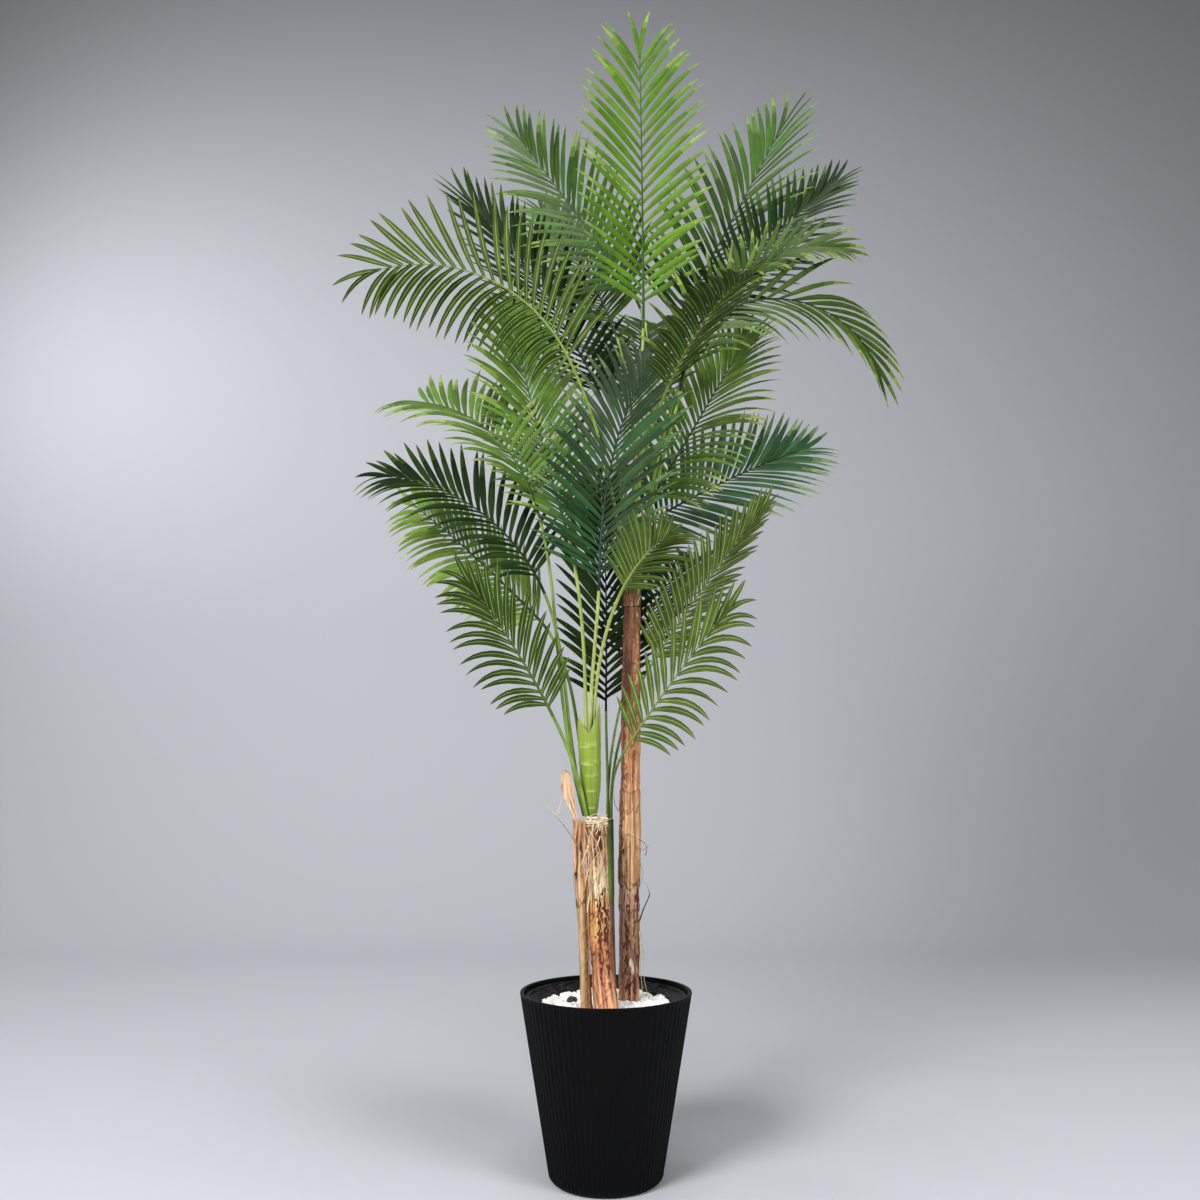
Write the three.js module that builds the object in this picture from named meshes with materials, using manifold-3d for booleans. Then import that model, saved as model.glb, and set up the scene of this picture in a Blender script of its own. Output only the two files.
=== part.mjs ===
// A potted artificial areca palm, about 2.25 m tall. Three trunks of natural bark and a thin green
// cane stand in cement inside a fluted planter. Feather fronds on long leaf stalks rise from them.
// Millimetres, +Z up. The origin is the centre of the planter's flat underside. -Y is the front.
import * as THREE from "three";
import { mergeVertices } from "three/addons/utils/BufferGeometryUtils.js";
import Module from "manifold-3d";

const wasm = await Module();
wasm.setup();

// Driving dimensions

const gap = 0.3; // clearance between pieces that rest against each other

const planter = {
  rimRadius: 150,
  baseRadius: 96,
  height: 300,
  wall: 7,
  floor: 8,
  footChamfer: 7,
  flutes: 78,
  fluteDepth: 1.6,
};

const liner = {
  floorRadius: 84,
  neckRadius: 121,
  neckZ: 278,
  neckSlope: 2,
  lipRadius: 139.6,
  lipTop: 293,
  lipHeight: 7,
  lipWidth: 11,
  wall: 3,
  sides: 36,
};

// Cement, and the bed of chips on it, whose top is uneven and falls at its edge.
const fill = {
  cementTop: 254,
  pebbleTop: 281,
  pebbleRadius: 113,
  edgeDrop: 8,
  bump: 3,
  scatter: 2,
  rings: 6,
  sides: 24,
};

// Each stem's centreline and radius at a few heights, from its foot in the cement to its top. The
// lobes are three swellings round the stem, as shares of its radius, which turn from ring to ring.
const stemSides = 12;
const lobeTurn = 1.7;
const stems = {
  front_trunk: {
    colour: 0xa5683a,
    lobes: 0.05,
    line: [
      { x: 3, y: -81, z: 205, radius: 20 },
      { x: 0, y: -79, z: 284, radius: 22 },
      { x: -6, y: -71, z: 335, radius: 19 },
      { x: -12, y: -56, z: 450, radius: 18 },
      { x: -16, y: -42, z: 545, radius: 19 },
      { x: -20, y: -36, z: 598, radius: 19 },
    ],
  },
  left_trunk: {
    colour: 0xb98c58,
    lobes: 0.04,
    line: [
      { x: -30, y: -61, z: 205, radius: 10 },
      { x: -33, y: -62, z: 284, radius: 10.5 },
      { x: -40, y: -62, z: 420, radius: 9 },
      { x: -46, y: -60, z: 540, radius: 9.5 },
      { x: -49, y: -58, z: 596, radius: 8.5 },
    ],
  },
  tall_trunk: {
    colour: 0x9a6a42,
    lobes: 0.04,
    line: [
      { x: 38, y: 14, z: 205, radius: 17 },
      { x: 40, y: 16, z: 284, radius: 18 },
      { x: 42, y: 19, z: 440, radius: 18 },
      { x: 44, y: 22, z: 640, radius: 16.5 },
      { x: 47, y: 26, z: 820, radius: 16 },
      { x: 50, y: 30, z: 985, radius: 15.5 },
    ],
  },
  green_cane: {
    colour: 0x5f7f33,
    lobes: 0,
    line: [
      { x: 13, y: 69, z: 205, radius: 6 },
      { x: 13, y: 68, z: 284, radius: 6 },
      { x: 9, y: 64, z: 430, radius: 6.5 },
      { x: 6, y: 62, z: 590, radius: 8 },
    ],
  },
};

// A curled strip of bark that stands off the left trunk's top, as a bent blade that faces the way
// of the bearing. Its width swells from the foot share to the full width and falls to the tip.
const barkFlap = {
  x: -49,
  y: -60,
  z: 590,
  height: 90,
  reach: 26,
  curl: 0.8,
  bearing: -37,
  width: 16,
  footShare: 0.45,
  thickness: 2.6,
  steps: 5,
};

// The tie of pale fibre round the front trunk's top.
const tie = { x: -19.2, y: -37.2, z: 587, radius: 20.6, thickness: 2, height: 7, sides: 20 };

// Hollow cups that hold the leaf stalks: the green crownshaft with its two pointed sheaths, and
// the ragged fibre round the tall trunk's head. A tooth is one point of a cup's rim.
const cupSides = 18;
const cups = {
  crownshaft: {
    colour: 0x86a32f,
    outside: [
      { x: -25, y: -36, z: 598.3, radius: 9 },
      { x: -26, y: -36, z: 625, radius: 14 },
      { x: -27, y: -36, z: 655, radius: 18 },
      { x: -30, y: -36, z: 740, radius: 20.5 },
    ],
    floor: 733,
    wall: 1.6,
    teeth: [
      { bearing: 205, height: 32, spread: 75, lean: 0 },
      { bearing: 335, height: 60, spread: 70, lean: 0.5 },
    ],
  },
  fibre_sheath: {
    colour: 0x8a6238,
    outside: [
      { x: 50, y: 30, z: 985.3, radius: 15.3 },
      { x: 50, y: 30, z: 1001, radius: 16.8 },
    ],
    floor: 990,
    wall: 1.3,
    teeth: [
      { bearing: 210, height: 16, spread: 50, lean: -3 },
      { bearing: 272, height: 20, spread: 40, lean: -3 },
      { bearing: 80, height: 14, spread: 60, lean: -3 },
    ],
  },
};

// Seats of the leaf stalks: a ring round a centre. The tilt is how far a stalk starts outwards.
const seatRings = {
  tallInner: { x: 50, y: 30, z: 990, radius: 3.6, from: -10, step: 120, tilt: 0.03 },
  tallOuter: { x: 50, y: 30, z: 990, radius: 10, from: 1, step: 36, tilt: 0.08 },
  lowInner: { x: -30, y: -36, z: 733, radius: 8, from: 220, step: 60, tilt: 0 },
  lowOuter: { x: -25, y: -36, z: 599, radius: 13.6, from: 120, step: 36, tilt: 0.28 },
  cane: { x: 6, y: 62, z: 590, radius: 4.3, from: 58, step: 90, tilt: 0 },
};

// Frond sizes: pairs of leaflets and their width.
const sizes = {
  large: { pairs: 15, width: 15 },
  middle: { pairs: 13, width: 14 },
  small: { pairs: 10, width: 13 },
};

// Plain colours and roughnesses.
const colours = {
  planter: 0x141414,
  liner: 0x1b1b1c,
  cement: 0x8d8a84,
  pebbles: 0xf1efe9,
  tie: 0xd9c79c,
};
const roughness = { plastic: 0.55, fill: 0.8, bark: 0.85, cup: 0.55, leaf: 0.45 };
const tints = {
  bright: 0x6c9f2f,
  light: 0x7da648,
  mid: 0x4c8436,
  olive: 0x56702f,
  dark: 0x2b5a30,
  deep: 0x1f4d3c,
};

// The three-sided rib of a frond, from its stalk's foot to the tip of its blade. The pulls are the
// shares of the stalk's span over which it keeps its seat's way and its blade's way.
const rib = {
  stalkRadius: 2.9,
  caneStalkRadius: 2.4,
  tipRadius: 1.5,
  stalkStep: 90,
  bladeSteps: 24,
  footPull: 0.42,
  heelPull: 0.3,
};

// Leaflets rise from the rib into a shallow V and bend down past their widest place.
// Their lengths follow a half wave along the blade, from its first phase, above the shortest share.
const leaf = {
  shortest: 0.42,
  firstPhase: 0.14,
  phases: 0.76,
  rootLength: 10,
  thickness: 2,
  lastSplay: 12,
  rise: 16,
  widestAt: 0.42,
  clearance: 0.4,
};

// A leaflet that would touch something is tried again turned, lifted or shorter, then left out.
const leafTries = [
  { turn: 0, lift: 0, scale: 1 },
  { turn: -6, lift: 6, scale: 1 },
  { turn: 6, lift: -6, scale: 1 },
  { turn: 0, lift: 14, scale: 1 },
  { turn: 0, lift: -14, scale: 1 },
  { turn: -8, lift: 0, scale: 0.8 },
  { turn: 8, lift: 10, scale: 0.8 },
  { turn: 0, lift: 0, scale: 0.6 },
  { turn: 0, lift: 18, scale: 0.6 },
];

// One row for each frond. The heel is where its leaflets begin. The lean is from the vertical, and
// the splay of a leaflet from the rib, at the heel and at the tip. Bearings turn from +X towards
// +Y, and the swerve is the turn to the tip. The leaflet is the length of the longest one. A frond
// that bends round a wide gap is two solids, split after some of its pairs.
const fronds = [
  { name: "frond_top", ring: "tallInner", seat: 1, heel: [75, 25, 1600], bearing: 100, swerve: 0,
    lean: [0, 4], length: 590, size: "large", leaflet: 194, splay: [58, 34], roll: -6, droop: 0.2,
    tint: "bright" },
  { name: "frond_upper_left", ring: "tallInner", seat: 2, heel: [50, 95, 1670], bearing: 150, swerve: 15,
    lean: [31, 34], length: 500, size: "large", leaflet: 186, splay: [62, 18], roll: -75, droop: 0.25,
    tint: "mid" },
  { name: "frond_upper_right", ring: "tallInner", seat: 0, heel: [150, 105, 1610], bearing: 33, swerve: -35,
    lean: [29, 26], length: 540, size: "large", leaflet: 215, splay: [68, 18], roll: 58, droop: 0.25,
    tint: "mid" },
  { name: "frond_right_dark", ring: "tallOuter", seat: 6, heel: [195, 20, 1570], bearing: 30, swerve: -25,
    lean: [36, 46], length: 455, size: "large", leaflet: 157, splay: [78, 14], roll: 67, droop: 0.1,
    tint: "dark" },
  { name: "frond_left_dark", ring: "tallOuter", seat: 4, heel: [-15, 135, 1460], bearing: 168, swerve: 20,
    lean: [23, 42], length: 510, size: "large", leaflet: 195, splay: [62, 16], roll: -65, droop: 0.1,
    tint: "dark" },
  { name: "frond_left_arch", ring: "tallOuter", seat: 5, heel: [-70, -90, 1435], bearing: 170, swerve: -8,
    lean: [25, 96], length: 498, size: "large", leaflet: 186, splay: [64, 30], roll: 60, droop: 0.6,
    tint: "olive", splitAfter: 3 },
  { name: "frond_right_weeping", ring: "tallOuter", seat: 9, heel: [145, -80, 1410], bearing: 10, swerve: -5,
    lean: [10, 157], length: 505, size: "large", leaflet: 180, splay: [54, 16], roll: 70, droop: 0.9,
    tint: "dark", splitAfter: 8 },
  { name: "frond_right_arch", ring: "tallOuter", seat: 0, heel: [240, -10, 1610], bearing: 350, swerve: 0,
    lean: [35, 108], length: 240, size: "small", leaflet: 120, splay: [60, 20], roll: 60, droop: 0.5,
    tint: "mid" },
  { name: "frond_front_right", ring: "tallOuter", seat: 7, heel: [115, -85, 1380], bearing: 300, swerve: -15,
    lean: [46, 110], length: 345, size: "middle", leaflet: 125, splay: [60, 25], roll: 15, droop: 0.3,
    tint: "olive", splitAfter: 3 },
  { name: "frond_middle_right", ring: "tallOuter", seat: 1, heel: [90, 40, 1200], bearing: 25, swerve: 0,
    lean: [31, 31], length: 430, size: "large", leaflet: 170, splay: [75, 15], roll: 52, droop: 0.5,
    tint: "mid" },
  { name: "frond_low_right", ring: "tallOuter", seat: 2, heel: [85, 60, 1160], bearing: 25, swerve: 5,
    lean: [57, 66], length: 430, size: "large", leaflet: 190, splay: [68, 14], roll: 64, droop: 0.13,
    tint: "deep" },
  { name: "frond_back_left", ring: "tallOuter", seat: 8, heel: [10, 130, 1615], bearing: 120, swerve: 10,
    lean: [31, 39], length: 470, size: "large", leaflet: 190, splay: [62, 20], roll: -35, droop: 0.3,
    tint: "mid" },
  { name: "frond_back_right", ring: "tallOuter", seat: 3, heel: [45, 170, 1450], bearing: 75, swerve: 0,
    lean: [25, 70], length: 540, size: "large", leaflet: 195, splay: [62, 20], roll: 0, droop: 0.3,
    tint: "mid" },
  { name: "frond_middle_left", ring: "lowInner", seat: 0, heel: [-75, -75, 1120], bearing: 130, swerve: 7,
    lean: [24, 16], length: 500, size: "large", leaflet: 175, splay: [55, 22], roll: -28, droop: 0.6,
    tint: "light" },
  { name: "frond_centre", ring: "lowInner", seat: 1, heel: [-12, -100, 1015], bearing: 60, swerve: -20,
    lean: [2, 36], length: 500, size: "large", leaflet: 195, splay: [60, 22], roll: 25, droop: 0.25,
    tint: "deep" },
  { name: "frond_small_front", ring: "lowInner", seat: 2, heel: [30, -160, 985], bearing: 296, swerve: 5,
    lean: [55, 80], length: 160, size: "small", leaflet: 95, splay: [60, 20], roll: -30, droop: 0.3,
    tint: "bright" },
  { name: "frond_low_left", ring: "lowOuter", seat: 0, heel: [-125, -10, 955], bearing: 152, swerve: -5,
    lean: [46, 54], length: 410, size: "middle", leaflet: 143, splay: [54, 33], roll: -88, droop: 0.38,
    tint: "mid" },
  { name: "frond_left_drooping", ring: "lowOuter", seat: 1, heel: [-125, -90, 1020], bearing: 170,
    swerve: -10,
    lean: [30, 80], length: 380, size: "middle", leaflet: 145, splay: [62, 22], roll: -55, droop: 0.6,
    tint: "dark" },
  { name: "frond_left_bright", ring: "lowOuter", seat: 2, heel: [-135, -80, 1175], bearing: 165, swerve: -10,
    lean: [21, 77], length: 335, size: "middle", leaflet: 170, splay: [60, 42], roll: -33, droop: 0.5,
    tint: "bright" },
  { name: "frond_small_left", ring: "lowOuter", seat: 3, heel: [-100, -85, 785], bearing: 217, swerve: 5,
    lean: [33, 47], length: 255, size: "small", leaflet: 122, splay: [60, 14], roll: 60, droop: 0.7,
    tint: "dark" },
  { name: "frond_back_middle", ring: "cane", seat: 1, heel: [55, 170, 900], bearing: 60, swerve: 0,
    lean: [30, 70], length: 450, size: "middle", leaflet: 175, splay: [62, 20], roll: 0, droop: 0.3,
    tint: "dark" },
  { name: "frond_centre_back", ring: "cane", seat: 2, heel: [0, 80, 810], bearing: 93, swerve: 10,
    lean: [-10, 28], length: 465, size: "middle", leaflet: 160, splay: [55, 20], roll: 0, droop: 0.2,
    tint: "dark" },
  { name: "frond_small_right", ring: "cane", seat: 3, heel: [45, -70, 730], bearing: 323, swerve: -6,
    lean: [40, 49], length: 290, size: "small", leaflet: 115, splay: [63, 14], roll: -70, droop: 0.7,
    tint: "mid" },
  { name: "frond_cane_right", ring: "cane", seat: 0, heel: [95, 40, 890], bearing: 348, swerve: 6,
    lean: [34, 38], length: 340, size: "middle", leaflet: 110, splay: [62, 14], roll: -45, droop: 0.05,
    tint: "olive" },
];

// Vectors and repeatable unevenness

const radians = THREE.MathUtils.degToRad;
const lerp = THREE.MathUtils.lerp;

function vector(x, y, z) {
  return new THREE.Vector3(x, y, z);
}

// Moves a point along some directions by the given distances.
function shifted(point, ...moves) {
  const result = point.clone();
  for (const [direction, distance] of moves) {
    result.addScaledVector(direction, distance);
  }
  return result;
}

// A number from -1 to 1 that depends only on its two arguments.
function unevenness(first, second) {
  const wave = Math.sin(first * 12.99 + second * 78.23) * 43758.5;
  return 2 * (wave - Math.floor(wave)) - 1;
}

// Bodies: a list of points and of triangles that index them

function bodyToSolid(body) {
  const mesh = new wasm.Mesh({
    numProp: 3,
    vertProperties: new Float32Array(body.points.flatMap((point) => [point.x, point.y, point.z])),
    triVerts: new Uint32Array(body.triangles.flat()),
  });
  return new wasm.Manifold(mesh);
}

function bodyToGeometry(body) {
  const geometry = new THREE.BufferGeometry();
  geometry.setFromPoints(body.points);
  geometry.setIndex(body.triangles.flat());
  geometry.computeVertexNormals();
  return geometry;
}

function solidToGeometry(solid) {
  const { vertProperties, triVerts } = solid.getMesh();
  const geometry = new THREE.BufferGeometry();
  geometry.setAttribute("position", new THREE.BufferAttribute(new Float32Array(vertProperties), 3));
  geometry.setIndex([...triVerts]);
  geometry.computeVertexNormals();
  return geometry;
}

// Two triangles for each side between one ring of points and the next.
function sideTriangles(first, second, sides) {
  const triangles = [];
  for (let i = 0; i < sides; i += 1) {
    const j = (i + 1) % sides;
    triangles.push([first + i, first + j, second + j], [first + i, second + j, second + i]);
  }
  return triangles;
}

// Skins rings of equal count, anticlockwise about the way they follow, and closes both ends.
function loft(rings) {
  const sides = rings[0].length;
  const points = rings.flat();
  const triangles = [];
  for (let k = 0; k + 1 < rings.length; k += 1) {
    triangles.push(...sideTriangles(k * sides, (k + 1) * sides, sides));
  }
  const middle = (ring) => ring.reduce((sum, point) => sum.add(point), vector(0, 0, 0)).divideScalar(sides);
  const last = (rings.length - 1) * sides;
  const start = points.push(middle(rings[0])) - 1;
  const end = points.push(middle(rings[rings.length - 1])) - 1;
  for (let i = 0; i < sides; i += 1) {
    const j = (i + 1) % sides;
    triangles.push([start, j, i], [end, last + i, last + j]);
  }
  return { points, triangles };
}

// A level ring whose radius and height may depend on the bearing.
function levelRing(centre, sides, radiusAt, heightAt) {
  return Array.from({ length: sides }, (unused, i) => {
    const angle = (i / sides) * 2 * Math.PI;
    const radius = radiusAt(angle, i);
    return vector(
      centre.x + radius * Math.cos(angle),
      centre.y + radius * Math.sin(angle),
      heightAt(angle, i),
    );
  });
}

function roundRing(centre, sides, radius, z) {
  return levelRing(centre, sides, () => radius, () => z);
}

// Pot, liner, cement and pebbles

const axis = vector(0, 0, 0);

function planterRadius(z) {
  return lerp(planter.baseRadius, planter.rimRadius, z / planter.height);
}

// Tapered planter with a fluted outside: every other point of its outer rings is a groove.
function makePlanter() {
  const sides = planter.flutes * 2;
  const fluted = (z) => levelRing(
    axis, sides, (angle, i) => planterRadius(z) - (i % 2) * planter.fluteDepth, () => z,
  );
  const plain = (radius, z) => roundRing(axis, sides, radius, z);
  return loft([
    plain(planter.baseRadius - planter.footChamfer, 0),
    fluted(planter.footChamfer),
    fluted(planter.height),
    plain(planter.rimRadius - planter.wall, planter.height),
    plain(planterRadius(planter.floor) - planter.wall, planter.floor),
  ]);
}

// Thin inner pot that stands on the planter's floor, with a stepped lip under the rim.
function makeLiner() {
  const { floorRadius, neckRadius, neckZ, neckSlope, lipRadius, lipTop, lipHeight, lipWidth, wall } = liner;
  const foot = planter.floor + gap;
  const profile = [
    [0, foot],
    [floorRadius, foot],
    [neckRadius, neckZ],
    [lipRadius, lipTop - lipHeight],
    [lipRadius, lipTop],
    [lipRadius - lipWidth, lipTop],
    [neckRadius - wall, neckZ + neckSlope],
    [floorRadius - wall, foot + wall],
    [0, foot + wall],
  ].map(([radius, z]) => new THREE.Vector2(radius, z));
  const geometry = new THREE.LatheGeometry(profile, liner.sides);
  geometry.rotateX(Math.PI / 2);
  return weld(geometry);
}

// A lathed surface as a body, its doubled seam joined and its faces without area left out.
function weld(geometry) {
  geometry.deleteAttribute("normal");
  geometry.deleteAttribute("uv");
  const welded = mergeVertices(geometry, 1e-4);
  const position = welded.getAttribute("position");
  const index = welded.getIndex().array;
  const points = Array.from({ length: position.count }, (unused, i) => {
    return new THREE.Vector3().fromBufferAttribute(position, i);
  });
  const triangles = [];
  for (let i = 0; i < index.length; i += 3) {
    const corners = [index[i], index[i + 1], index[i + 2]];
    if (new Set(corners).size === 3) {
      triangles.push(corners);
    }
  }
  return { points, triangles };
}

// The radius that fits inside the liner at a height, with clearance.
function linerInside(z) {
  const foot = planter.floor + gap + liner.wall;
  const share = (z - foot) / (liner.neckZ + liner.neckSlope - foot);
  return lerp(liner.floorRadius, liner.neckRadius, share) - liner.wall - 2 * gap;
}

function makeCement() {
  const foot = planter.floor + liner.wall + 2 * gap;
  return loft([
    roundRing(axis, fill.sides, linerInside(foot), foot),
    roundRing(axis, fill.sides, linerInside(fill.cementTop), fill.cementTop),
  ]);
}

// Bed of chips: a disc with an uneven top, in rings from its edge to its middle.
function makePebbles() {
  const foot = fill.cementTop + gap;
  const edge = fill.pebbleTop - fill.edgeDrop;
  const rings = [
    roundRing(axis, fill.sides, linerInside(foot), foot),
    roundRing(axis, fill.sides, linerInside(edge), edge),
  ];
  for (let k = fill.rings; k > 0; k -= 1) {
    const radius = (fill.pebbleRadius * k) / fill.rings;
    rings.push(levelRing(
      axis,
      fill.sides,
      (angle, i) => radius + fill.scatter * unevenness(i, k),
      (angle, i) => fill.pebbleTop + fill.bump * unevenness(k, i + fill.sides),
    ));
  }
  return loft(rings);
}

// Trunks, flap and tie

// A stem's rings, a little lobed; the extra radius and depth make the socket that it stands in.
function stemRings(stem, extra) {
  return stem.line.map(({ x, y, z, radius }, k) => levelRing(
    vector(x, y, 0),
    stemSides,
    (angle) => radius * (1 + stem.lobes * Math.sin(3 * angle + lobeTurn * k)) + extra,
    () => (k === 0 ? z - extra : z),
  ));
}

function makeBarkFlap() {
  const { x, y, z, height, reach, curl, bearing, width, footShare, thickness, steps } = barkFlap;
  const across = vector(Math.cos(radians(bearing)), Math.sin(radians(bearing)), 0);
  const through = vector(-across.y, across.x, 0);
  const rings = [];
  for (let k = 0; k <= steps; k += 1) {
    const share = k / steps;
    const swell = footShare + (1 - footShare) * Math.sin(Math.PI * share);
    const centre = vector(x - reach * share ** curl, y, z + height * share);
    rings.push([
      shifted(centre, [across, (swell * width) / 2]),
      shifted(centre, [through, thickness * 1.5]),
      shifted(centre, [across, (-swell * width) / 2]),
      shifted(centre, [through, thickness / 2]),
    ]);
  }
  return loft(rings);
}

function makeTie() {
  const { radius, thickness, height, sides } = tie;
  const profile = [
    [radius, -height / 2],
    [radius + thickness, -height / 3],
    [radius + thickness, height / 3],
    [radius, height / 2],
    [radius, -height / 2],
  ].map(([across, along]) => new THREE.Vector2(across, along));
  const geometry = new THREE.LatheGeometry(profile, sides);
  geometry.rotateX(Math.PI / 2);
  geometry.translate(tie.x, tie.y, tie.z);
  return weld(geometry);
}

// A cup: its outside from the foot to a toothed rim, then its inside down to the floor.
function makeCup(cup) {
  const mouth = cup.outside[cup.outside.length - 1];
  const toothShare = (tooth, angle) => {
    const turn = Math.abs(((angle * 180) / Math.PI - tooth.bearing + 540) % 360 - 180);
    return Math.max(0, 1 - turn / tooth.spread);
  };
  const rimHeight = (angle) => {
    return mouth.z + Math.max(...cup.teeth.map((tooth) => tooth.height * toothShare(tooth, angle)));
  };
  const rimRadius = (angle) => {
    return mouth.radius - Math.max(...cup.teeth.map((tooth) => tooth.lean * toothShare(tooth, angle)));
  };
  const rings = cup.outside.slice(0, -1).map((ring) => roundRing(ring, cupSides, ring.radius, ring.z));
  rings.push(levelRing(mouth, cupSides, rimRadius, rimHeight));
  rings.push(levelRing(mouth, cupSides, (angle) => rimRadius(angle) - cup.wall, rimHeight));
  rings.push(roundRing(mouth, cupSides, mouth.radius - cup.wall - gap, cup.floor));
  return loft(rings);
}

// Fronds: the rib

// The way the blade runs at a share of its length, with its upper side and its right-hand side.
function bladeFrame(row, share) {
  const lean = radians(lerp(row.lean[0], row.lean[1], share));
  const bearing = radians(row.bearing + row.swerve * share);
  const tangent = vector(
    Math.sin(lean) * Math.cos(bearing),
    Math.sin(lean) * Math.sin(bearing),
    Math.cos(lean),
  );
  const upper = vector(
    -Math.cos(lean) * Math.cos(bearing),
    -Math.cos(lean) * Math.sin(bearing),
    Math.sin(lean),
  );
  upper.applyAxisAngle(tangent, radians(row.roll));
  const side = tangent.clone().cross(upper);
  return { tangent, upper, side };
}

// The blade's centreline: small steps along its way, from the heel.
function bladePoint(row, share) {
  const point = vector(...row.heel);
  for (let k = 0; k < rib.bladeSteps; k += 1) {
    const { tangent } = bladeFrame(row, (share * (k + 0.5)) / rib.bladeSteps);
    point.addScaledVector(tangent, (row.length * share) / rib.bladeSteps);
  }
  return point;
}

// A rib's section, a triangle of equal sides: two upper corners and a keel, anticlockwise.
function ribSection(point, upper, side, radius) {
  return [210, 330, 90].map((turn) => shifted(
    point,
    [side, radius * Math.cos(radians(turn))],
    [upper, -radius * Math.sin(radians(turn))],
  ));
}

// The foot of a frond's stalk on its ring of seats, and the way that the stalk starts.
function seatOf(row) {
  const ring = seatRings[row.ring];
  const angle = radians(ring.from + ring.step * row.seat);
  const outwards = vector(Math.cos(angle), Math.sin(angle), 0);
  const foot = shifted(vector(ring.x, ring.y, ring.z + gap), [outwards, ring.radius]);
  const way = vector(0, 0, 1).addScaledVector(outwards, ring.tilt).normalize();
  return { foot, way };
}

// The stalk's centreline: a smooth curve from its seat that meets the blade in line.
function stalkCurve(row) {
  const { foot, way } = seatOf(row);
  const heel = vector(...row.heel);
  const span = foot.distanceTo(heel);
  const { tangent } = bladeFrame(row, 0);
  return new THREE.CubicBezierCurve3(
    foot,
    shifted(foot, [way, span * rib.footPull]),
    shifted(heel, [tangent, -span * rib.heelPull]),
    heel,
  );
}

function stalkRadius(row) {
  return row.ring === "cane" ? rib.caneStalkRadius : rib.stalkRadius;
}

// Sections of the stalk, its upper side turned as the blade's is at the heel.
function stalkSections(row) {
  const curve = stalkCurve(row);
  const { upper } = bladeFrame(row, 0);
  const count = Math.max(3, Math.round(curve.getLength() / rib.stalkStep));
  return Array.from({ length: count }, (unused, k) => {
    const way = curve.getTangent(k / count);
    const top = shifted(upper, [way, -upper.dot(way)]).normalize();
    return { ring: ribSection(curve.getPoint(k / count), top, way.clone().cross(top), stalkRadius(row)) };
  });
}

// Where each pair of leaflets grows, as shares of the blade's length.
function pairShares(row) {
  const { pairs } = sizes[row.size];
  return Array.from({ length: pairs }, (unused, i) => (i + 0.5) / pairs);
}

// Sections of the blade's rib: one on each side of every pair's root, the first marked with its
// pair, and one on each side of the place where a frond is split, the second marked.
function bladeSections(row) {
  const shares = pairShares(row);
  const halfRoot = leaf.rootLength / 2 / row.length;
  const halfGap = gap / 2 / row.length;
  const stops = [{ share: 0 }];
  for (const [pair, share] of shares.entries()) {
    if (pair === row.splitAfter) {
      const split = (shares[pair - 1] + share) / 2;
      stops.push({ share: split - halfGap }, { share: split + halfGap, split: true });
    }
    stops.push({ share: share - halfRoot, pair }, { share: share + halfRoot });
  }
  stops.push({ share: 1 });
  return stops.map((stop) => {
    const { upper, side } = bladeFrame(row, stop.share);
    const radius = lerp(stalkRadius(row), rib.tipRadius, stop.share);
    return { ...stop, ring: ribSection(bladePoint(row, stop.share), upper, side, radius) };
  });
}

// A frond's solids, each as its list of sections.
function frondParts(row) {
  const sections = [...stalkSections(row), ...bladeSections(row)];
  const split = sections.findIndex((section) => section.split);
  return split < 0 ? [sections] : [sections.slice(0, split), sections.slice(split)];
}

// Fronds: the leaflets

// Leaflets are longest at about the middle of the blade.
function leafletLength(row, share) {
  const swell = Math.sin(Math.PI * (leaf.firstPhase + leaf.phases * share));
  return row.leaflet * (leaf.shortest + (1 - leaf.shortest) * swell);
}

// The widest ring and the tip of a leaflet; hand is -1 on the left of the rib and 1 on its right.
function leafletEnds(row, pair, hand, change, extra) {
  const shares = pairShares(row);
  const share = shares[pair];
  const { tangent, upper, side } = bladeFrame(row, share);
  const last = pair === shares.length - 1;
  const splay = radians((last ? leaf.lastSplay : lerp(row.splay[0], row.splay[1], share)) + change.turn);
  const rise = radians(leaf.rise + change.lift);
  const outwards = side.clone().multiplyScalar(hand * Math.cos(rise)).addScaledVector(upper, Math.sin(rise));
  const way = tangent.clone().multiplyScalar(Math.cos(splay)).addScaledVector(outwards, Math.sin(splay));
  const bent = shifted(way, [vector(0, 0, -1), row.droop]).normalize();
  const length = leafletLength(row, share) * change.scale;
  const middle = shifted(bladePoint(row, share), [way, length * leaf.widestAt]);
  const tip = shifted(middle, [bent, length * (1 - leaf.widestAt) + extra]);
  const across = shifted(tangent, [way, -tangent.dot(way)]).normalize();
  const through = across.clone().cross(way).multiplyScalar(-hand);
  const halfWidth = sizes[row.size].width / 2 + extra;
  const halfThickness = leaf.thickness / 2 + extra;
  const corner = (along, above) => {
    return shifted(middle, [across, along * halfWidth], [through, above * halfThickness]);
  };
  const ring = [corner(-1, hand), corner(-1, -hand), corner(1, -hand), corner(1, hand)];
  return { ring, tip };
}

// Faces of a leaflet that grows from the four points of its root, first and last towards the heel.
function leafletTriangles(root, ring, tip) {
  const triangles = [];
  for (let i = 0; i < 4; i += 1) {
    const j = (i + 1) % 4;
    triangles.push([root[i], root[j], ring[j]], [root[i], ring[j], ring[i]], [ring[i], ring[j], tip]);
  }
  return triangles;
}

// The root of a leaflet: the rib's face between two sections, in the order of its outline.
function leafletRoot(first, second, hand) {
  const [a, b] = hand < 0 ? [2, 0] : [1, 2];
  return [first + a, first + b, second + b, second + a];
}

function boxOf(points) {
  return new THREE.Box3().setFromPoints(points);
}

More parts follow.
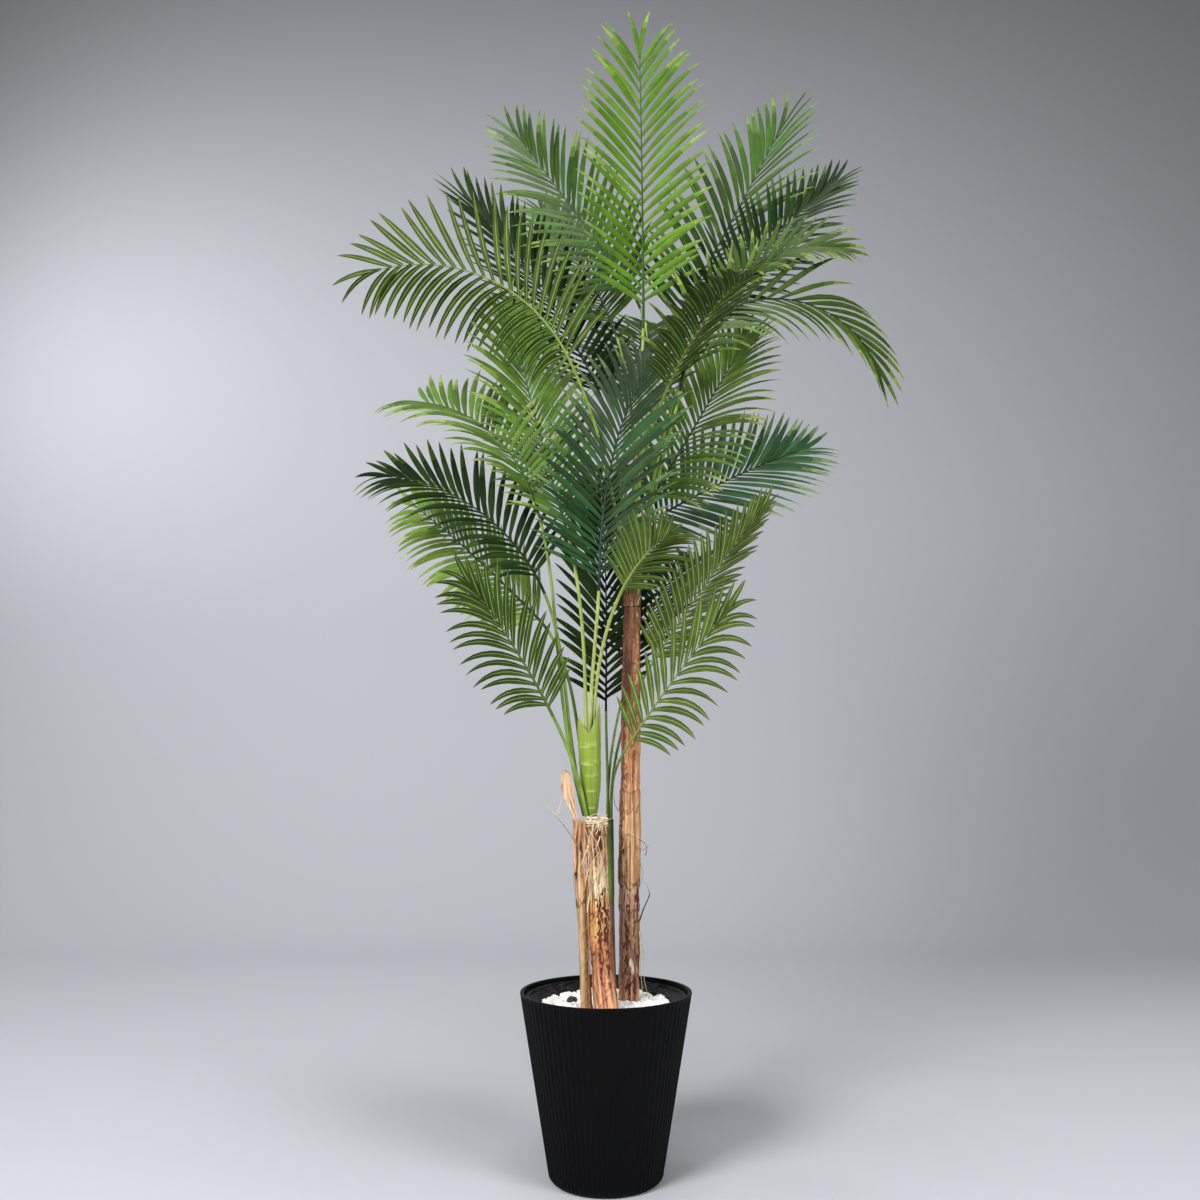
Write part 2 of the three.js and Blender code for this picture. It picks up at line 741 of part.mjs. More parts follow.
function touches(obstacle, solid, box) {
  if (!obstacle.box.intersectsBox(box)) {
    return false;
  }
  const common = obstacle.solid.intersect(solid);
  const hit = !common.isEmpty();
  common.delete();
  return hit;
}

// Finds the first way to grow a leaflet that clears the obstacles, or nothing.
function placeLeaflet(row, pair, hand, sections, obstacles) {
  const first = sections.findIndex((section) => section.pair === pair);
  const rings = [...sections[first].ring, ...sections[first + 1].ring];
  const rootPoints = leafletRoot(0, 3, hand).map((i) => rings[i]);
  for (const change of leafTries) {
    const padded = leafletEnds(row, pair, hand, change, leaf.clearance);
    const points = [...rootPoints, ...padded.ring, padded.tip];
    const triangles = [[0, 2, 1], [0, 3, 2], ...leafletTriangles([0, 1, 2, 3], [4, 5, 6, 7], 8)];
    const solid = bodyToSolid({ points, triangles });
    const box = boxOf(points);
    const clear = obstacles.every((obstacle) => {
      const own = obstacle.row === row && (obstacle.pair === undefined || obstacle.pair === pair);
      return own || !touches(obstacle, solid, box);
    });
    if (clear) {
      obstacles.push({ row, pair, solid, box });
      return leafletEnds(row, pair, hand, change, 0);
    }
    solid.delete();
  }
  return null;
}

// Joins a frond's rib and the leaflets it kept into one closed skin.
function frondBody(sections, leaflets) {
  const points = sections.flatMap((section) => section.ring);
  const lastRing = (sections.length - 1) * 3;
  const triangles = [[0, 2, 1], [lastRing, lastRing + 1, lastRing + 2]];
  for (let k = 0; k + 1 < sections.length; k += 1) {
    const faces = sideTriangles(k * 3, (k + 1) * 3, 3);
    triangles.push(...faces.slice(0, 2));
    for (const hand of [1, -1]) {
      const grown = leaflets.find((leaflet) => leaflet.pair === sections[k].pair && leaflet.hand === hand);
      if (grown) {
        const start = points.push(...grown.ring, grown.tip) - 5;
        const ring = [start, start + 1, start + 2, start + 3];
        triangles.push(...leafletTriangles(leafletRoot(k * 3, (k + 1) * 3, hand), ring, start + 4));
      } else {
        triangles.push(...(hand > 0 ? faces.slice(2, 4) : faces.slice(4, 6)));
      }
    }
  }
  return { points, triangles };
}

// Assembly

const palm = new THREE.Group();
palm.name = "areca_palm";

function addMesh(name, geometry, colour, roughnessValue) {
  const material = new THREE.MeshStandardMaterial({ color: colour, roughness: roughnessValue, metalness: 0 });
  const mesh = new THREE.Mesh(geometry, material);
  mesh.name = name;
  palm.add(mesh);
}

const obstacles = [];

function addObstacle(solid, row) {
  const { min, max } = solid.boundingBox();
  obstacles.push({ row, solid, box: new THREE.Box3(vector(...min), vector(...max)) });
}

addMesh("planter", bodyToGeometry(makePlanter()), colours.planter, roughness.plastic);
addMesh("liner", bodyToGeometry(makeLiner()), colours.liner, roughness.plastic);

const sockets = Object.values(stems).map((stem) => bodyToSolid(loft(stemRings(stem, gap))));
for (const [name, body] of Object.entries({ cement: makeCement(), pebbles: makePebbles() })) {
  const holed = sockets.reduce((solid, socket) => solid.subtract(socket), bodyToSolid(body));
  addMesh(name, solidToGeometry(holed), colours[name], roughness.fill);
}

for (const [name, stem] of Object.entries(stems)) {
  let solid = bodyToSolid(loft(stemRings(stem, 0)));
  if (name === "left_trunk") {
    solid = solid.add(bodyToSolid(makeBarkFlap()));
  }
  addObstacle(solid);
  addMesh(name, solidToGeometry(solid), stem.colour, roughness.bark);
}

const tieBody = makeTie();
addObstacle(bodyToSolid(tieBody));
addMesh("raffia_tie", bodyToGeometry(tieBody), colours.tie, roughness.bark);

for (const [name, cup] of Object.entries(cups)) {
  const body = makeCup(cup);
  addObstacle(bodyToSolid(body));
  addMesh(name, bodyToGeometry(body), cup.colour, roughness.cup);
}

// Every rib is an obstacle before the first leaflet grows.
const ribs = fronds.flatMap((row) => frondParts(row).map((sections, part) => {
  addObstacle(bodyToSolid(frondBody(sections, [])), row);
  return { row, sections, name: part === 0 ? row.name : `${row.name}_end` };
}));

for (const { row, sections, name } of ribs) {
  const leaflets = [];
  for (const { pair } of sections.filter((section) => section.pair !== undefined)) {
    for (const hand of [-1, 1]) {
      const ends = placeLeaflet(row, pair, hand, sections, obstacles);
      if (ends) {
        leaflets.push({ pair, hand, ...ends });
      }
    }
  }
  addMesh(name, bodyToGeometry(frondBody(sections, leaflets)), tints[row.tint], roughness.leaf);
}

export default palm;
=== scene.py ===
# A potted artificial areca palm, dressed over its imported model. Metres, +Z up, the front is -Y.
import math

import bpy
import numpy as np
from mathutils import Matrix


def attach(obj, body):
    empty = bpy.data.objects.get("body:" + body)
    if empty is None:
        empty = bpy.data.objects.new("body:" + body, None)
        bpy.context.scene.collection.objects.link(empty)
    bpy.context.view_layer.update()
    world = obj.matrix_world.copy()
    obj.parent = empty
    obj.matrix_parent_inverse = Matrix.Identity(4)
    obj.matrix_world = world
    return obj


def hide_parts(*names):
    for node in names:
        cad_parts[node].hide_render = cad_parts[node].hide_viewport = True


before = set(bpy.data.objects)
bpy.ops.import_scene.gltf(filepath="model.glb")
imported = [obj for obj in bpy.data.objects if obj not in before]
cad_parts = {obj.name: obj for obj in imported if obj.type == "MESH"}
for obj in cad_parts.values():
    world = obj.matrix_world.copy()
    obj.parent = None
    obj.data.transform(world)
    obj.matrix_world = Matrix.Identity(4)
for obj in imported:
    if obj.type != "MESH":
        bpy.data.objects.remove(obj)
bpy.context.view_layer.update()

mm = 0.001
upwards = np.array([0.0, 0.0, 1.0])


# Small helpers

def unit(v):
    # v / |v| along the last axis
    return v / np.maximum(np.linalg.norm(v, axis=-1, keepdims=True), 1e-12)


def mixed(a, b, share):
    # a + (b - a) share
    return a + (b - a) * share


def fade(x, low, high):
    # 0 below low, 1 above high, t t (3 - 2 t) between
    t = np.clip((x - low) / (high - low), 0, 1)
    return t * t * (3 - 2 * t)


def turned(u, v, angle):
    # (u cos - v sin, u sin + v cos)
    return u * np.cos(angle) - v * np.sin(angle), u * np.sin(angle) + v * np.cos(angle)


def ringAngles(sides):
    # 2 pi k / sides for each side k
    return np.arange(sides) * 2 * np.pi / sides


def circle(radius, angle, z, x=0, y=0):
    # (x + radius cos angle, y + radius sin angle, z)
    return np.stack(np.broadcast_arrays(x + radius * np.cos(angle), y + radius * np.sin(angle), z), -1)


def turnFrom(bearing, degrees):
    # the turn from a bearing, between -180 and 180 degrees
    return (degrees - bearing + 540) % 360 - 180


noiseTable = (257, 263)  # random numbers along x and along y before a noise repeats


def valueNoise(x, y, seed, period=None):
    # random numbers on whole x and y, blended between them by t t (3 - 2 t); x may repeat after a period
    table = np.random.default_rng(seed).uniform(-1, 1, noiseTable)
    x0, y0 = np.floor(x).astype(int), np.floor(y).astype(int)
    tx, ty = fade(x - x0, 0, 1), fade(y - y0, 0, 1)
    wrap = (lambda i: i % period) if period else (lambda i: i)
    a, b = wrap(x0) % noiseTable[0], wrap(x0 + 1) % noiseTable[0]
    c, d = y0 % noiseTable[1], (y0 + 1) % noiseTable[1]
    return mixed(mixed(table[a, c], table[b, c], tx), mixed(table[a, d], table[b, d], tx), ty)


# Materials

def linear(colour):
    # sRGB hex to linear: c / 12.92 up to 0.04045, ((c + 0.055) / 1.055) ^ 2.4 above
    parts = [((colour >> shift) & 255) / 255 for shift in (16, 8, 0)]
    return tuple(c / 12.92 if c <= 0.04045 else ((c + 0.055) / 1.055) ** 2.4 for c in parts) + (1.0,)


def rgb(colour):
    # the three linear channels alone
    return np.array(linear(colour)[:3])


def shade(colour, factor):
    # each sRGB channel times the factor
    return sum(min(255, int(((colour >> s) & 255) * factor)) << s for s in (16, 8, 0))


def addNode(tree, kind, settings=None, links=None, stops=(), to=None):
    # one node: a setting is an input where the node has one of that name or number, else a property; a link
    # comes from a socket, or from a node's first output; stops are a colour ramp's; its first output feeds
    # the surface's input that to names
    node = tree.nodes.new("ShaderNode" + kind)
    for key, value in (settings or {}).items():
        if isinstance(key, int) or key in node.inputs:
            node.inputs[key].default_value = value
        else:
            setattr(node, key, value)
    for key, source in (links or {}).items():
        tree.links.new(getattr(source, "outputs", [source])[0], node.inputs[key])
    if stops:
        elements = node.color_ramp.elements
        while len(elements) < len(stops):
            elements.new(0.5)
        for element, (position, colour) in zip(elements, stops):
            element.position = position
            element.color = linear(colour)
    if to:
        tree.links.new(node.outputs[0], tree.nodes["Principled BSDF"].inputs[to])
    return node


def newMaterial(name, colour, roughness, ior=1.5, shine=0.5, shineTint=0xffffff):
    # a plain surface of one colour, with the strength and the tint of its highlights
    material = bpy.data.materials.new(name)
    material.use_nodes = True
    tree = material.node_tree
    settings = {"Base Color": linear(colour), "Roughness": roughness, "IOR": ior,
                "Specular IOR Level": shine, "Specular Tint": linear(shineTint)}
    for key, value in settings.items():
        tree.nodes["Principled BSDF"].inputs[key].default_value = value
    return material, tree, addNode(tree, "TexCoord")


def objectNoise(tree, place, size, detail, stretch=(1, 1, 1)):
    # noise whose grains are about size metres, longer along an axis with a stretch above 1
    scale = tuple(1 / (size * s) for s in stretch)
    mapping = addNode(tree, "Mapping", {"Scale": scale}, {"Vector": place.outputs["Object"]})
    return addNode(tree, "TexNoise", {"Scale": 1.0, "Detail": detail}, {"Vector": mapping})


def grained(name, colour, roughness, grain, stops, bump, bumpGrain=None, ior=1.5, shine=0.5):
    # one noise (its size, detail and stretch) picks a colour between the stops and lifts the surface by the
    # bump (its depth in metres and its strength), or a second, finer noise lifts it
    material, tree, place = newMaterial(name, colour, roughness, ior, shine)
    noise = objectNoise(tree, place, *grain)
    addNode(tree, "ValToRGB", links={"Fac": noise}, stops=stops, to="Base Color")
    height = objectNoise(tree, place, *bumpGrain) if bumpGrain else noise
    addNode(tree, "Bump", {"Distance": bump[0], "Strength": bump[1]}, {"Height": height}, to="Normal")
    return material


# Meshes

def makeObject(name, points, faces, materials, faceMaterial=None, uv=None, sharpAngle=50, flat=False):
    # a mesh at the origin, smooth except at edges sharper than the angle, or flat all over
    mesh = bpy.data.meshes.new(name)
    mesh.from_pydata(np.asarray(points, float).reshape(-1, 3), [], faces)
    for material in materials:
        mesh.materials.append(material)
    if faceMaterial is not None:
        mesh.polygons.foreach_set("material_index", np.asarray(faceMaterial, np.int32))
    if uv is not None:
        corner = np.zeros(len(mesh.loops), np.int32)
        mesh.loops.foreach_get("vertex_index", corner)
        mesh.uv_layers.new(name="surface").data.foreach_set(
            "uv", np.asarray(uv, np.float32).reshape(-1, 2)[corner].ravel())
    mesh.polygons.foreach_set("use_smooth", np.full(len(mesh.polygons), not flat))
    if not flat:
        mesh.set_sharp_from_angle(angle=math.radians(sharpAngle))
    mesh.update()
    piece = bpy.data.objects.new(name, mesh)
    bpy.context.scene.collection.objects.link(piece)
    return piece


def paint(piece, tone):
    # keeps a linear colour for each point, which tonedMaterial reads
    layer = piece.data.color_attributes.new("tone", "FLOAT_COLOR", "POINT")
    full = np.ones((len(piece.data.vertices), 4), np.float32)
    full[:, :3] = np.clip(tone, 0, 1).reshape(-1, 3)
    layer.data.foreach_set("color", full.ravel())
    return piece


def dress(piece, slotName, *nodes):
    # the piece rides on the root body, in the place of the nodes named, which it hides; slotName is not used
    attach(piece, "root")
    if nodes:
        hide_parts(*nodes)
    return piece


def tubeFaces(count, stations, sides):
    # faces of many closed tubes whose points run tube by tube, station by station and round the ring:
    # sides between stations, then the two end caps of every tube
    tube = (np.arange(count) * stations * sides)[:, None, None]
    ring = (np.arange(stations - 1) * sides)[None, :, None]
    i = np.arange(sides)[None, None, :]
    j = (i + 1) % sides
    base = tube + ring
    quads = np.stack([base + i, base + j, base + sides + j, base + sides + i], -1).reshape(-1, 4)
    first = tube[:, :, 0] + np.arange(sides)[None, ::-1]
    last = tube[:, :, 0] + (stations - 1) * sides + np.arange(sides)[None, :]
    return quads.tolist() + first.tolist() + last.tolist()


def ringPoints(centres, firstAxis, secondAxis, across, along):
    # centre + first across + second along, for every centre and every point of the ring
    return (centres[..., None, :] + firstAxis[..., None, :] * across[..., None]
            + secondAxis[..., None, :] * along[..., None])


# Leaves and stalks: what they are made of

leafColours = {
    # blade above, a second blade tone, near the tip, tip, underside, midrib below, rib above, rib below
    "fresh": "436413 4f701e 5e7c2a 768e42 466620 98a85c 243c10 93a452",
    "bright": "4c661e 5c782a 708638 96a856 4e6628 9caa60 26400f 93a452",
    # painted light: a lighter copy of the bright greens for one frond, standing in for light shining through
    # its leaves and their sheen
    "sunny": "62802e 72903c 8ca654 acbe76 66823e acb87c 32501a 9cb05a",
    "light": "405a1a 4e6e26 647e32 88984e 485e28 98a45e 26440e 93a452",
    "mid": "26420e 325418 466424 68803a 324a1a 8c9a5c 1a320c 7c9045",
    "olive": "2c420f 384f1a 4e6624 728436 2f4614 889450 263a10 74883a",
    "dark": "0f220a 19310f 293f18 425622 1c3010 64764a 0e1e06 566d32",
    # partly painted highlight: the teal is the leaves' own, but this copy of the deep greens is lightened to
    # stand in for their gloss
    "cool": "345436 446a46 5e8052 809c66 4a6a4a 9cae8c 203c22 7c9a74",
    "deep": "152f1a 214425 35552f 567246 284230 74866a 0e2216 557442",
}
# strength of the highlights, low on leaves that stay dark against the light
leafShine = {"dark": 0.12, "olive": 0.2, "mid": 0.22, "deep": 0.26, "others": 0.28}
leafLook = {
    "rough": 0.38,
    "patches": (0.03, 0.88, 1.1),  # m, and how dark and how light the green's patches are
    "veins": 50.0,                 # radians of the veins' wave across one unit of the UV map
    "vein": (0.66, 1.4),           # tone between the veins and on them
    "weave": (0.0016, 1.6),        # m, drawn coarser than the cloth's own so that it sparkles, and its height
    "bump": (0.0002, 0.7),         # m, strength
    "shineTint": 0xe0ecb0,
}


def leafMaterial(name, colour, shine):
    # printed polyester leaf: soft shine that sparkles on its weave, fine veins along it, its green uneven
    look = leafLook
    size, dull, pale = look["patches"]
    material, tree, place = newMaterial(name, colour, look["rough"], 1.5, shine, look["shineTint"])
    tone = addNode(tree, "ValToRGB", links={"Fac": objectNoise(tree, place, size, 3)},
                   stops=[(0.3, shade(colour, dull)), (0.7, shade(colour, pale))])
    split = addNode(tree, "SeparateXYZ", links={0: place.outputs["UV"]})
    wave = addNode(tree, "Math", {"operation": "MULTIPLY", 1: look["veins"]}, {0: split})
    vein = addNode(tree, "Math", {"operation": "SINE"}, {0: wave})
    stripe = addNode(tree, "MapRange", {1: -1.0, 2: 1.0, 3: look["vein"][0], 4: look["vein"][1]}, {0: vein})
    addNode(tree, "VectorMath", {"operation": "SCALE"}, {0: tone, "Scale": stripe}, to="Base Color")
    weave = objectNoise(tree, place, look["weave"][0], 1)
    height = addNode(tree, "Math", {"operation": "MULTIPLY_ADD", 1: look["weave"][1]}, {0: weave, 2: vein})
    addNode(tree, "Bump", {"Distance": look["bump"][0], "Strength": look["bump"][1]}, {"Height": height},
            to="Normal")
    return material


def stalkMaterial(name, colour, streaks):
    # moulded leaf stalk: smooth plastic, paler streaks along it
    return grained(name, colour, 0.42, (0.006, 2, (1, 1, 14)), [(0.3, colour), (0.7, streaks)], (0.0003, 0.5),
                   shine=0.2)


# Fronds: a stalk and rib, and two rows of leaflets

# rings of seats, where the stalks begin: middle, height and radius (mm), bearing of the first seat, degrees
# from seat to seat, and how much a stalk leans out
seatRings = {
    "tallInner": dict(x=50, y=30, z=990, radius=3.6, first=-10, step=120, tilt=0.03),
    "tallOuter": dict(x=50, y=30, z=990, radius=10, first=1, step=36, tilt=0.08),
    "lowInner": dict(x=-30, y=-36, z=733, radius=8, first=220, step=60, tilt=0),
    "lowOuter": dict(x=-25, y=-36, z=599, radius=13.6, first=120, step=36, tilt=0.28),
    "cane": dict(x=6, y=62, z=590, radius=4.3, first=58, step=90, tilt=0),
}

# Seat is the place on the ring, heel (mm) is where the leaflets begin. A pair is the value at the heel and at
# the tip, in degrees: bearings turn from +X to +Y, leans are from the vertical, splays from the rib. Roll is
# about the rib, length is the rib's (mm), wide and leaflet are the longest leaflet's width and length, and
# droop is gravity's share in the leaflets' way
frondColumns = "name seat heel bearing lean splay roll length pairs wide leaflet droop".split()
fronds = {
    "tallInner": [
        ("top", 1, (75, 25, 1600), (100, 100), (0, 4), (58, 34), -6, 590, 24, 14.6, 194, 0.2),
        ("upper_left", 2, (50, 95, 1670), (150, 165), (31, 34), (62, 18), -75, 500, 24, 13.2, 186, 0.25),
        ("upper_right", 0, (150, 105, 1610), (33, -2), (29, 26), (68, 18), 58, 540, 25, 13.4, 215, 0.25),
    ],
    "tallOuter": [
        ("right_dark", 6, (195, 20, 1570), (30, 5), (36, 46), (78, 14), 67, 455, 30, 11.8, 157, 0.1),
        ("left_dark", 4, (-15, 135, 1460), (168, 188), (23, 42), (62, 16), -65, 510, 28, 12.8, 195, 0.1),
        ("left_arch", 5, (-70, -90, 1435), (170, 162), (25, 96), (64, 30), 60, 498, 24, 12.8, 183, 0.6),
        ("right_weeping", 9, (145, -80, 1410), (10, 5), (10, 157), (54, 16), 70, 505, 21, 11.6, 180, 0.9),
        ("right_arch", 0, (240, -10, 1610), (350, 350), (35, 108), (60, 20), 60, 240, 17, 11.4, 120, 0.5),
        ("front_right", 7, (115, -85, 1380), (300, 285), (46, 110), (60, 25), 15, 345, 22, 12.4, 125, 0.3),
        ("middle_right", 1, (90, 40, 1200), (25, 25), (31, 31), (75, 15), 52, 430, 30, 11.8, 170, 0.5),
        ("low_right", 2, (85, 60, 1160), (25, 30), (57, 66), (68, 14), 64, 430, 28, 12.8, 190, 0.13),
        ("back_left", 8, (10, 130, 1615), (120, 130), (31, 39), (62, 20), -35, 470, 30, 14.2, 190, 0.3),
        ("back_right", 3, (45, 170, 1450), (75, 75), (25, 70), (62, 20), 0, 540, 31, 14.2, 195, 0.3),
    ],
    "lowInner": [
        ("middle_left", 0, (-75, -75, 1120), (130, 137), (24, 16), (55, 22), -28, 500, 35, 11.4, 175, 0.6),
        ("centre", 1, (-12, -100, 1015), (60, 40), (2, 36), (60, 22), 25, 500, 34, 11.4, 195, 0.25),
        ("small_front", 2, (30, -160, 985), (296, 301), (55, 80), (60, 20), -30, 160, 16, 11.0, 95, 0.3),
    ],
    "lowOuter": [
        ("low_left", 0, (-125, -10, 955), (152, 147), (46, 54), (54, 33), -88, 410, 28, 12.0, 143, 0.38),
        ("left_drooping", 1, (-125, -90, 1020), (170, 160), (30, 80), (62, 22), -55, 380, 23, 12.4, 145, 0.6),
        ("left_bright", 2, (-135, -80, 1175), (165, 155), (21, 77), (60, 42), -33, 335, 25, 11.6, 170, 0.5),
        ("small_left", 3, (-100, -85, 785), (217, 222), (33, 47), (60, 14), 60, 255, 15, 12.6, 122, 0.7),
    ],
    "cane": [
        ("back_middle", 1, (55, 170, 900), (60, 60), (30, 70), (62, 20), 0, 450, 23, 13.2, 175, 0.3),
        ("centre_back", 2, (0, 80, 810), (93, 103), (-10, 28), (55, 20), 0, 465, 24, 13.2, 160, 0.2),
        ("small_right", 3, (45, -70, 730), (323, 317), (40, 49), (63, 14), -70, 290, 15, 12.6, 115, 0.7),
        ("cane_right", 0, (95, 40, 890), (348, 354), (34, 38), (62, 14), -45, 340, 26, 11.4, 110, 0.05),
    ],
}
splitFronds = {"left_arch", "right_weeping", "front_right"}  # their outer part is a second node in the part
# each frond's slot in the part and, where they differ, the leafColours that its leaves show
leafTints = {"top": "bright fresh", "upper_left": "mid", "upper_right": "mid", "right_dark": "dark",
             "left_dark": "dark", "left_arch": "olive", "right_weeping": "dark olive",
             "right_arch": "mid olive", "front_right": "olive", "middle_right": "mid light",
             "low_right": "deep cool", "back_left": "mid", "back_right": "mid", "middle_left": "light",
             "centre": "deep", "small_front": "bright", "low_left": "mid sunny", "left_drooping": "dark",
             "left_bright": "bright light", "small_left": "dark mid", "back_middle": "dark",
             "centre_back": "dark", "small_right": "mid light", "cane_right": "olive light"}
brightTips = {"low_left", "cane_right", "middle_right", "left_arch"}

stalkLook = {
    "steps": 21, "ribSteps": 34, "sides": 10,
    "foot": 3.5, "heel": (2.8, 2.7), "tip": 0.8,  # radii (mm), at the heel the stalk's and the rib's
    "slim": 0.82,            # share of them that the green cane's stalks have
    "channel": 0.55,         # the upper side's height as a share of a round one's
    "pull": (0.42, 0.3),     # how far the curve keeps the seat's and the heel's way, as shares of the span
    "green": 19,             # the steps in the stalk's own colour, the rest are the rib's
}
frondLook = {
    "shortest": 0.42,        # length of the shortest leaflet as a share of the longest
    "crowding": 1.18,        # above 1, leaflets stand closer near the heel
    "stagger": 0.12,         # shift of a leaflet from its pair's place, as a share of a pair's length of rib
    "rise": 16,              # degrees that leaflets stand above the rib's sides
    "lastSplay": 12,
    "arch": 10,              # degrees that a leaflet's splay grows by from its middle to its tip
    # the largest random change, in degrees or as a share
    "uneven": {"splay": 2.4, "rise": 5, "length": 0.035, "twist": 18, "turn": 10, "droop": 0.15},
    "upright": 0.75,         # share of its droop that a leaflet pointing skyward loses
    "pull": (1.6, 1.75),     # gravity's factor and power along the leaflet
    "thick": 0.45,           # mm, half thickness at the midrib
    "fold": 0.25,            # depth of the leaflet's fold as a share of its width
    "second": 0.35,          # share of the leaflets in the second tone
}
# where a leaflet's rings are, as shares of its length
leafletStops = np.array([0, 0.08, 0.2, 0.34, 0.48, 0.62, 0.75, 0.86, 0.93, 0.975, 1.0])
leafletAcross = np.array([0.5, 0.0, 0.5, 0.2, 0.0, 0.2])  # u of a leaflet's ring in the UV map


def bladeFrame(row, share):
    # way: (sin lean cos b, sin lean sin b, cos lean); upper side: square to it and skyward, rolled about it
    lean = np.radians(mixed(*row["lean"], share))
    bearing = np.radians(mixed(*row["bearing"], share))
    way = np.stack([np.sin(lean) * np.cos(bearing), np.sin(lean) * np.sin(bearing), np.cos(lean)], -1)
    upper = np.stack([-np.cos(lean) * np.cos(bearing), -np.cos(lean) * np.sin(bearing), np.sin(lean)], -1)
    roll = math.radians(row["roll"])
    upper = upper * math.cos(roll) + np.cross(way, upper) * math.sin(roll)
    return way, upper, np.cross(way, upper)


def bladePoints(row, shares):
    # the heel plus the way added up along the blade in fine steps
    count = 240
    fine = np.linspace(0, 1, count + 1)
    way = bladeFrame(row, fine)[0]
    steps = (way[1:] + way[:-1]) / 2 * row["length"] / count
    line = np.vstack([np.zeros(3), np.cumsum(steps, 0)]) + np.array(row["heel"], float)
    return np.stack([np.interp(shares, fine, line[:, k]) for k in range(3)], -1)


def stalkLine(row, t):
    # cubic Bezier curve from the seat, along its way, to the heel, in line with the blade
    ring = seatRings[row["ring"]]
    angle = math.radians(ring["first"] + ring["step"] * row["seat"])
    out = np.array([math.cos(angle), math.sin(angle), 0])
    foot = np.array([ring["x"], ring["y"], ring["z"] + 0.3]) + out * ring["radius"]
    heel = np.array(row["heel"], float)
    span = np.linalg.norm(heel - foot)
    a = foot + unit(upwards + out * ring["tilt"]) * span * stalkLook["pull"][0]
    b = heel - bladeFrame(row, np.array(0.0))[0] * span * stalkLook["pull"][1]
    t = t[:, None]
    line = foot * (1 - t) ** 3 + a * 3 * t * (1 - t) ** 2 + b * 3 * t * t * (1 - t) + heel * t ** 3
    way = (a - foot) * 3 * (1 - t) ** 2 + (b - a) * 6 * t * (1 - t) + (heel - b) * 3 * t * t
    return line, unit(way)


def growStalk(row, materials):
    # rings along stalk and rib: round below, a flat channel above, the radius falling from foot to heel as
    # t^0.7 and from heel to tip as t^0.8
    look = stalkLook
    t = np.linspace(0, 1, look["steps"], endpoint=False)
    line, way = stalkLine(row, t)
    upper = bladeFrame(row, np.array(0.0))[1]
    upper = unit(upper - way * (way @ upper)[:, None])
    shares = np.linspace(0, 1, look["ribSteps"])
    ribUpper, ribSide = bladeFrame(row, shares)[1:]
    centres = np.vstack([line, bladePoints(row, shares)])
    uppers = np.vstack([upper, ribUpper])
    sides = np.vstack([np.cross(way, upper), ribSide])
    slim = look["slim"] if row["ring"] == "cane" else 1.0
    radius = np.concatenate([mixed(look["foot"], look["heel"][0], t ** 0.7),
                             mixed(look["heel"][1], look["tip"], shares ** 0.8)]) * slim
    count, ring = len(centres), look["sides"]
    angle = ringAngles(ring)
    across = np.cos(angle) * radius[:, None]
    along = -np.sin(angle) * radius[:, None] * np.where(np.sin(angle) < 0, look["channel"], 1.0)
    points = ringPoints(centres, sides, uppers, across, along)
    # materials: 0 stalk, 1 rib's upper side, 2 rib's underside
    quad = np.arange((count - 1) * ring)
    station, place = quad // ring, quad % ring
    kind = np.where(station < look["green"], 0, np.where(place >= ring // 2, 1, 2))
    v = np.concatenate([t * 0.5, 0.5 + shares * 0.5])
    uv = np.stack(np.broadcast_arrays(angle[None, :] / (2 * np.pi), v[:, None]), -1)
    return makeObject(row["name"] + "_stalk", points * mm, tubeFaces(1, count, ring), materials,
                      np.concatenate([kind, [0, 1]]), uv, sharpAngle=60)


